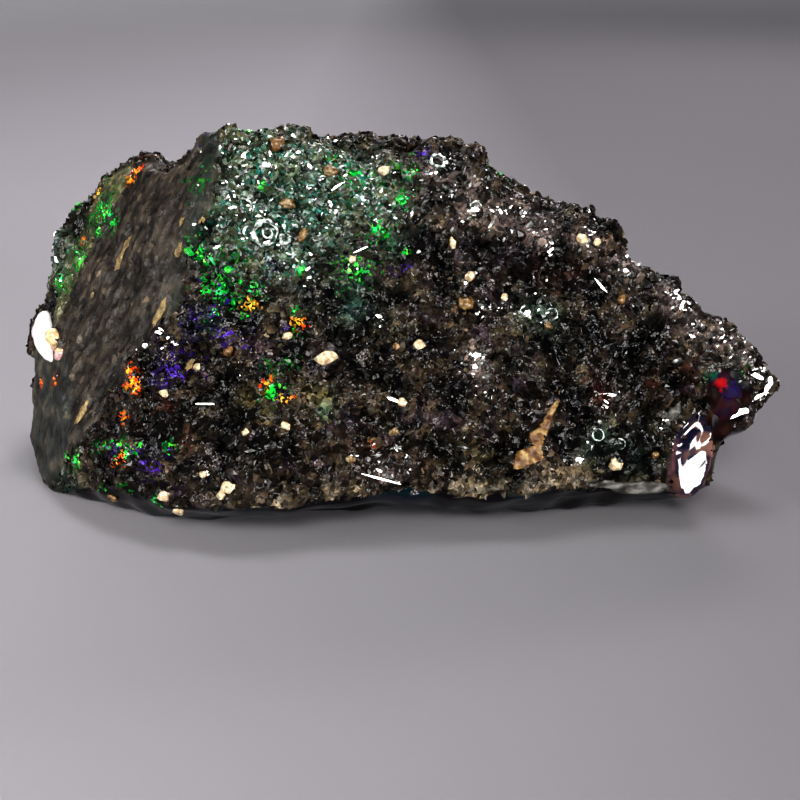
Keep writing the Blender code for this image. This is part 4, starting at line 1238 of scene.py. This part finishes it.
for vertex in knob.verts:
    vertex.co += vertex.normal * (KNOB_DENTS * noise.noise(vertex.co / MM / 0.55) * MM)
place_shape("milky_knob", knob, knob_glow_finish)

amber_finish, tree, shader = new_finish("amber_opal")
ambers = colours_by(tree, clouds_of(tree, 0.4, 2.0), (
    (0.35, (0.52, 0.36, 0.20)), (0.5, (0.70, 0.52, 0.27)), (0.65, (0.80, 0.64, 0.42))))
height = add(tree, "ShaderNodeSeparateXYZ", {
    0: add(tree, "ShaderNodeTexCoord").outputs["Object"]}).outputs["Z"]
rosy = levels_by(tree, height, *ROSY_BELOW, 1.0, 0.0)
fill(tree, shader, {"Base Color": mix_colours(tree, rosy, ambers, (0.58, 0.35, 0.34, 1.0)), "Roughness": 0.3,
                    "Coat Weight": 0.4, "Coat Roughness": 0.08})
amber = bmesh.new()
for seed, spot in enumerate(AMBER_SIDE):
    add_pebble(amber, spot, 0.6, seed + 80, bumps=0.3, stand=0.05, upright=True)
place_shape("amber_side", amber, amber_finish)

# A lens of grey, half-clear opal forms the rim at the right, smooth and sharp-edged, and one long grain of
# the same opal sits above it. The lens is (x, y, z, half height) from left to right, in millimetres.
GREY_LENS = (
    (11.2, -8.3, 2.6, 0.05), (11.8, -8.1, 2.45, 0.18), (12.4, -8.0, 2.3, 0.28), (13.0, -7.85, 2.15, 0.36),
    (14.1, -7.7, 2.05, 0.40), (15.0, -7.6, 2.0, 0.36), (15.6, -7.55, 2.05, 0.22), (16.0, -7.5, 2.1, 0.06),
)
GREY_GRAIN = (15.7, -6.75, 6.1, 0.32, 0.7)
lens_finish = clouded_finish("grey_opal", 0.9, 4.0, (
    (0.38, (0.018, 0.018, 0.014)), (0.5, (0.075, 0.073, 0.062)), (0.62, (0.19, 0.185, 0.175))),
    {"Roughness": 0.45, "Specular IOR Level": 0.3, "Coat Weight": 0.1, "Coat Roughness": 0.2},
    stretch=(1.0, 1.0, 2.0))
lens = bmesh.new()
add_band(lens, [((x, y, z - half), (x, y, z + half)) for x, y, z, half in GREY_LENS], 0.10, 0.1, 0.0, 9.0)
add_lens(lens, GREY_GRAIN, Vector((0.35, 0.0, 1.0)), 0.10, 0.7, 90)
taken.append((*GREY_GRAIN[:3], 0.5))
place_shape("grey_lens", lens, lens_finish)

# The tip of the stone is solid dark opal: red brown, with one red flash, a blue-violet cloud and a teal
# corner. It is laid as three low lenses, (x, y, z, half width, half length) in millimetres.
TIP_OPAL = ((18.4, -5.9, 7.7, 0.85, 0.55), (18.9, -6.0, 7.1, 0.75, 0.5), (18.7, -6.3, 6.2, 0.8, 0.7))
# Where the tip flashes, each with its colour: (x, y, z, radius) in millimetres.
TIP_FLASHES = (
    ((17.8, -5.8, 8.1, 0.55), (0.0, 0.085, 0.05, 1.0)),
    ((19.1, -5.9, 7.25, 0.85), (0.014, 0.009, 0.055, 1.0)),
    ((18.3, -6.0, 7.55, 0.44), (0.27, 0.004, 0.008, 1.0)),
)
dark_tip_finish, tree, shader = new_finish("dark_tip_opal")
tip_colours = colours_by(tree, clouds_of(tree, 0.8, 2.0), (
    (0.32, (0.010, 0.006, 0.010)), (0.50, (0.030, 0.006, 0.008)), (0.62, (0.010, 0.004, 0.014))))
shards = add(tree, "ShaderNodeTexVoronoi", {"Vector": seen_at(tree, 0.30), "Scale": 1.0})
shard = add(tree, "ShaderNodeSeparateColor", {0: shards.outputs["Color"]}).outputs[0]
for (x, y, z, radius), flash in TIP_FLASHES:
    reach = radius * MM
    place = add(tree, "ShaderNodeTexCoord").outputs["Object"]
    apart = add(tree, "ShaderNodeVectorMath", {0: place, 1: (x * MM, y * MM, z * MM)}, operation="DISTANCE")
    ragged = arithmetic(tree, "ADD", apart.outputs["Value"],
                        levels_by(tree, shard, 0.0, 1.0, -0.45 * reach, 0.45 * reach))
    share = levels_by(tree, ragged, 0.25 * reach, 0.95 * reach, 1.0, 0.0)
    tip_colours = mix_colours(tree, share, tip_colours, flash)
# The tip's colours are also given off as a faint painted glow.
fill(tree, shader, {"Base Color": tip_colours, "Emission Color": tip_colours, "Emission Strength": 0.2,
                    "Roughness": 0.5, "Specular IOR Level": 0.06})
tip = bmesh.new()
for seed, spot in enumerate(TIP_OPAL):
    add_lens(tip, spot, Vector((0.3, 0.0, 1.0)), 0.09, 0.45, seed + 60)
    taken.append((*spot[:3], 0.7))
place_shape("tip_opal", tip, dark_tip_finish)

# All over the breaks sit loose-packed angular grains, too many to lay by hand: black and brown basalt, clear
# opal and the grains of opal that flash green, violet and orange. They are sown on the chunk's own surface.
CHIP_SHAPES = 9
CHIP_CORNERS = 9
CHIP_REACH = (0.75, 1.15)
# Each sowing: its name, where it is densest, the most per square millimetre, the least distance, the
# smallest and the largest grain in millimetres, and its seed.
SOWINGS = (
    ("black_grains", "room_black", 7.0, 0.24, 0.10, 0.32, 1),
    ("brown_grains", "room_brown", 4.0, 0.30, 0.08, 0.26, 2),
    ("clear_grains", "room_clear", 24.0, 0.15, 0.06, 0.20, 3),
    ("green_fire", "room_green", 30.0, 0.13, 0.07, 0.18, 4),
    ("violet_fire", "room_violet", 22.0, 0.13, 0.06, 0.15, 5),
    ("orange_fire", "room_orange", 50.0, 0.10, 0.07, 0.16, 6),
)
GRAINS_SUNK = 0.35
FULL_TURNS = (6.283, 6.283, 6.283)

free = between(1.0 - near(moved, taken), 0.3, 0.6)
patchy = between(clumps, -0.25, 0.45)
loose = rough * free * (1.0 - 0.85 * moss) * (1.0 - 0.6 * rim)
clearest = np.maximum(np.maximum(0.35 * sprinkle, 0.9 * haze * (0.3 + 0.7 * patchy)), glints)
clearest = np.maximum(clearest, 0.5 * painted_rim_light)
set_marks(chunk_mesh, {
    "room_black": loose, "room_brown": loose * (0.15 + 0.85 * patchy) * (1.0 - 0.8 * dark),
    "room_clear": loose * clearest * (1.0 - 0.7 * dark * (1.0 - glints)), "room_green": free * green ** 1.3,
    "room_violet": free * violet ** 1.5, "room_orange": free * orange ** 1.3})

chips = bpy.data.collections.new("chips")
for number in range(CHIP_SHAPES):
    chance = random.Random(100 + number)
    chip = bmesh.new()
    for _ in range(CHIP_CORNERS):
        way = Vector([chance.gauss(0.0, 1.0) for _ in range(3)]).normalized()
        chip.verts.new(way * chance.uniform(*CHIP_REACH))
    made_of = bmesh.ops.convex_hull(chip, input=chip.verts)
    spare = {part for part in made_of["geom_interior"] if isinstance(part, bmesh.types.BMVert)}
    bmesh.ops.delete(chip, geom=list(spare), context="VERTS")
    bmesh.ops.recalc_face_normals(chip, faces=chip.faces)
    chip_mesh = bpy.data.meshes.new("chip")
    chip.to_mesh(chip_mesh)
    chip.free()
    chips.objects.link(bpy.data.objects.new("chip", chip_mesh))

sowing = bpy.data.node_groups.new("sow_grains", "GeometryNodeTree")
sockets = {}
for label, kind in (("Geometry", "Geometry"), ("Where", "String"), ("Most per Square Metre", "Float"),
                    ("Least Distance", "Float"), ("Smallest", "Float"), ("Largest", "Float"),
                    ("Sunk", "Float"), ("Seed", "Int"), ("Chips", "Collection"), ("Finish", "Material")):
    sockets[label] = sowing.interface.new_socket(
        label, in_out="INPUT", socket_type="NodeSocket" + kind).identifier
sowing.interface.new_socket("Geometry", in_out="OUTPUT", socket_type="NodeSocketGeometry")
given = sowing.nodes.new("NodeGroupInput").outputs


def drawn(kind, low, high, seed):
    """A number or a vector for each grain, drawn between low and high."""
    first = 0 if kind == "FLOAT_VECTOR" else 2
    drawing = add(sowing, "FunctionNodeRandomValue", {first: low, first + 1: high, "Seed": seed},
                  data_type=kind)
    return drawing.outputs[first // 2]


density = add(sowing, "GeometryNodeInputNamedAttribute", {"Name": given["Where"]}, data_type="FLOAT")
scatter = add(sowing, "GeometryNodeDistributePointsOnFaces", {
    "Mesh": given["Geometry"], "Distance Min": given["Least Distance"],
    "Density Max": given["Most per Square Metre"], "Density Factor": density.outputs["Attribute"],
    "Seed": given["Seed"]}, distribute_method="POISSON")
size = drawn("FLOAT", given["Smallest"], given["Largest"], given["Seed"])
sink = arithmetic(sowing, "MULTIPLY", arithmetic(sowing, "MULTIPLY", size, given["Sunk"]), -1.0)
down = add(sowing, "ShaderNodeVectorMath", {0: scatter.outputs["Normal"], "Scale": sink}, operation="SCALE")
sunk = add(sowing, "GeometryNodeSetPosition", {
    "Geometry": scatter.outputs["Points"], "Offset": down.outputs[0]})
sized = add(sowing, "ShaderNodeVectorMath", {
    0: drawn("FLOAT_VECTOR", (0.75, 0.75, 0.6), (1.25, 1.1, 1.0), 22), "Scale": size}, operation="SCALE")
picks = add(sowing, "GeometryNodeCollectionInfo", {
    "Collection": given["Chips"], "Separate Children": True, "Reset Children": True})
laid = add(sowing, "GeometryNodeInstanceOnPoints", {
    "Points": sunk.outputs[0], "Instance": picks.outputs[0], "Pick Instance": True,
    "Rotation": drawn("FLOAT_VECTOR", (0.0, 0.0, 0.0), FULL_TURNS, 21), "Scale": sized.outputs[0]})
marked = add(sowing, "GeometryNodeStoreNamedAttribute", {
    "Geometry": laid.outputs[0], "Name": "grain_seed", "Value": drawn("FLOAT", 0.0, 1.0, 23)},
    data_type="FLOAT", domain="INSTANCE")
real = add(sowing, "GeometryNodeRealizeInstances", {"Geometry": marked.outputs[0]})
coated = add(sowing, "GeometryNodeSetMaterial", {"Geometry": real.outputs[0], "Material": given["Finish"]})
fill(sowing, sowing.nodes.new("NodeGroupOutput"), {0: coated.outputs[0]})


def seeded(tree):
    """Four random picks for each grain."""
    pick = add(tree, "ShaderNodeTexWhiteNoise", {"W": share_of(tree, "grain_seed", 997.0)},
               noise_dimensions="1D").outputs
    apart = add(tree, "ShaderNodeSeparateColor", {0: pick["Color"]}).outputs
    return pick["Value"], apart[0], apart[1], apart[2]


finishes = {}
finishes["black_grains"], tree, shader = new_finish("black_grain")
first, second, third, fourth = seeded(tree)
basalt = use(tree, tint_group, {"Weight": arithmetic(tree, "MULTIPLY", first, 0.8)})["Colour"]
fire = use(tree, fire_group, {"Pick": third, "Second Pick": fourth, "Share": 0.5})
# The fire colours of these grains also glow: painted glow.
fill(tree, shader, {
    "Base Color": mix_colours(tree, fire["Fire"], basalt, fire["Colour"]),
    "Emission Color": mix_colours(tree, fire["Fire"], BLACK, fire["Colour"]), "Emission Strength": PAINTED_FIRE_GLOW,
    "Roughness": levels_by(tree, second, 0.0, 1.0, 0.08, 0.32), "Specular IOR Level": 0.25})

finishes["brown_grains"], tree, shader = new_finish("brown_grain")
first, second = seeded(tree)[:2]
colour = colours_by(tree, first, (
    (0.0, (0.012, 0.007, 0.004)), (0.4, (0.034, 0.022, 0.012)), (0.7, (0.070, 0.050, 0.030)),
    (0.9, (0.12, 0.093, 0.055)), (0.97, (0.20, 0.16, 0.10)), (1.0, (0.38, 0.31, 0.20))))
# These grains are darkened at the dark spots too: darker stone and painted shade.
colour = tinted(tree, colour, levels_by(tree, mark_of(tree, "dark"), 0.0, 1.0, 1.0, 0.12))
colour = mix_colours(tree, share_of(tree, "haze", second), colour, (0.13, 0.20, 0.11, 1.0))
fill(tree, shader, {"Base Color": colour, "Roughness": levels_by(tree, second, 0.0, 1.0, 0.12, 0.4),
                    "Specular IOR Level": 0.25})

# Clear grains: mostly near black glass, and the lightest coloured near white as painted glints.
finishes["clear_grains"], tree, shader = new_finish("clear_grain_painted_glint")
first, second = seeded(tree)[:2]
colour = colours_by(tree, first, (
    (0.0, (0.006, 0.006, 0.006)), (0.5, (0.035, 0.036, 0.035)), (0.75, (0.16, 0.17, 0.165)),
    (0.9, (0.62, 0.64, 0.63)), (1.0, (0.88, 0.89, 0.89))))
haze_share = share_of(tree, "haze", levels_by(tree, second, 0.3, 1.0, 0.0, 0.9))
fill(tree, shader, {"Base Color": mix_colours(tree, haze_share, colour, (0.055, 0.36, 0.28, 1.0)),
                    "Roughness": levels_by(tree, second, 0.0, 1.0, 0.03, 0.15),
                    "Specular IOR Level": 1.0, "Coat Weight": 1.0, "Coat Roughness": 0.04})


def fire_finish(name, stops, strength, gold_share=0.0):
    """Opal grains that flash one colour, some bright and some hardly, also given off as a painted glow. A
    share of it may turn to gold.
    """
    finish, tree, shader = new_finish(name)
    first, second = seeded(tree)[:2]
    bright = levels_by(tree, mark_of(tree, "core"), 0.0, 0.8, 0.42, 1.05)
    colour = colours_by(tree, arithmetic(tree, "MULTIPLY", first, bright), stops)
    if gold_share:
        colour = mix_colours(tree, share_of(tree, "gold", gold_share), colour, (0.85, 0.58, 0.08, 1.0))
    fill(tree, shader, {"Base Color": colour, "Emission Color": colour, "Emission Strength": strength,
                        "Roughness": levels_by(tree, second, 0.0, 1.0, 0.05, 0.25),
                        "Coat Weight": 0.5, "Coat Roughness": 0.05})
    return finish


finishes["green_fire"] = fire_finish("green_fire", (
    (0.0, (0.0, 0.02, 0.006)), (0.3, (0.0, 0.07, 0.014)), (0.55, (0.003, 0.30, 0.03)),
    (0.8, (0.06, 0.80, 0.06)), (0.92, (0.30, 0.95, 0.12)), (1.0, (0.42, 0.95, 0.36))), 0.6)
finishes["violet_fire"] = fire_finish("violet_fire", (
    (0.0, (0.008, 0.005, 0.014)), (0.35, (0.016, 0.009, 0.038)), (0.65, (0.034, 0.014, 0.11)),
    (0.85, (0.070, 0.028, 0.25)), (1.0, (0.20, 0.11, 0.66))), 0.4)
finishes["orange_fire"] = fire_finish("orange_fire", (
    (0.0, (0.10, 0.01, 0.0)), (0.35, (0.65, 0.05, 0.01)), (0.7, (0.95, 0.22, 0.01)),
    (1.0, (1.0, 0.60, 0.06))), 0.6, 0.85)
UNUSED_BY_GRAINS = ("left_face", "underside", "clear", "rough", "painted_hollow_shade", "edge", "low_face", "facet_edge")


def remove_marks(mesh, names):
    """Takes away the marks with these names, and those of the room for each kind of grain."""
    for old in [a.name for a in mesh.attributes if a.name.startswith("room_") or a.name in names]:
        mesh.attributes.remove(mesh.attributes[old])


for name, where, most, least, smallest, largest, seed in SOWINGS:
    bed = link(bpy.data.objects.new("bed", chunk_mesh))
    sower = bed.modifiers.new("sower", "NODES")
    sower.node_group = sowing
    for label, value in (("Where", where), ("Most per Square Metre", most / MM ** 2),
                         ("Least Distance", least * MM), ("Smallest", smallest * MM),
                         ("Largest", largest * MM), ("Sunk", GRAINS_SUNK), ("Seed", seed), ("Chips", chips),
                         ("Finish", finishes[name])):
        sower[sockets[label]] = value
    grains_mesh = finished_mesh(bed, name)
    bpy.data.objects.remove(bed, do_unlink=True)
    remove_marks(grains_mesh, UNUSED_BY_GRAINS)
    place_piece(name, grains_mesh, False)
for chip in list(chips.objects):
    bpy.data.objects.remove(chip, do_unlink=True)
bpy.data.collections.remove(chips)
remove_marks(chunk_mesh, ())
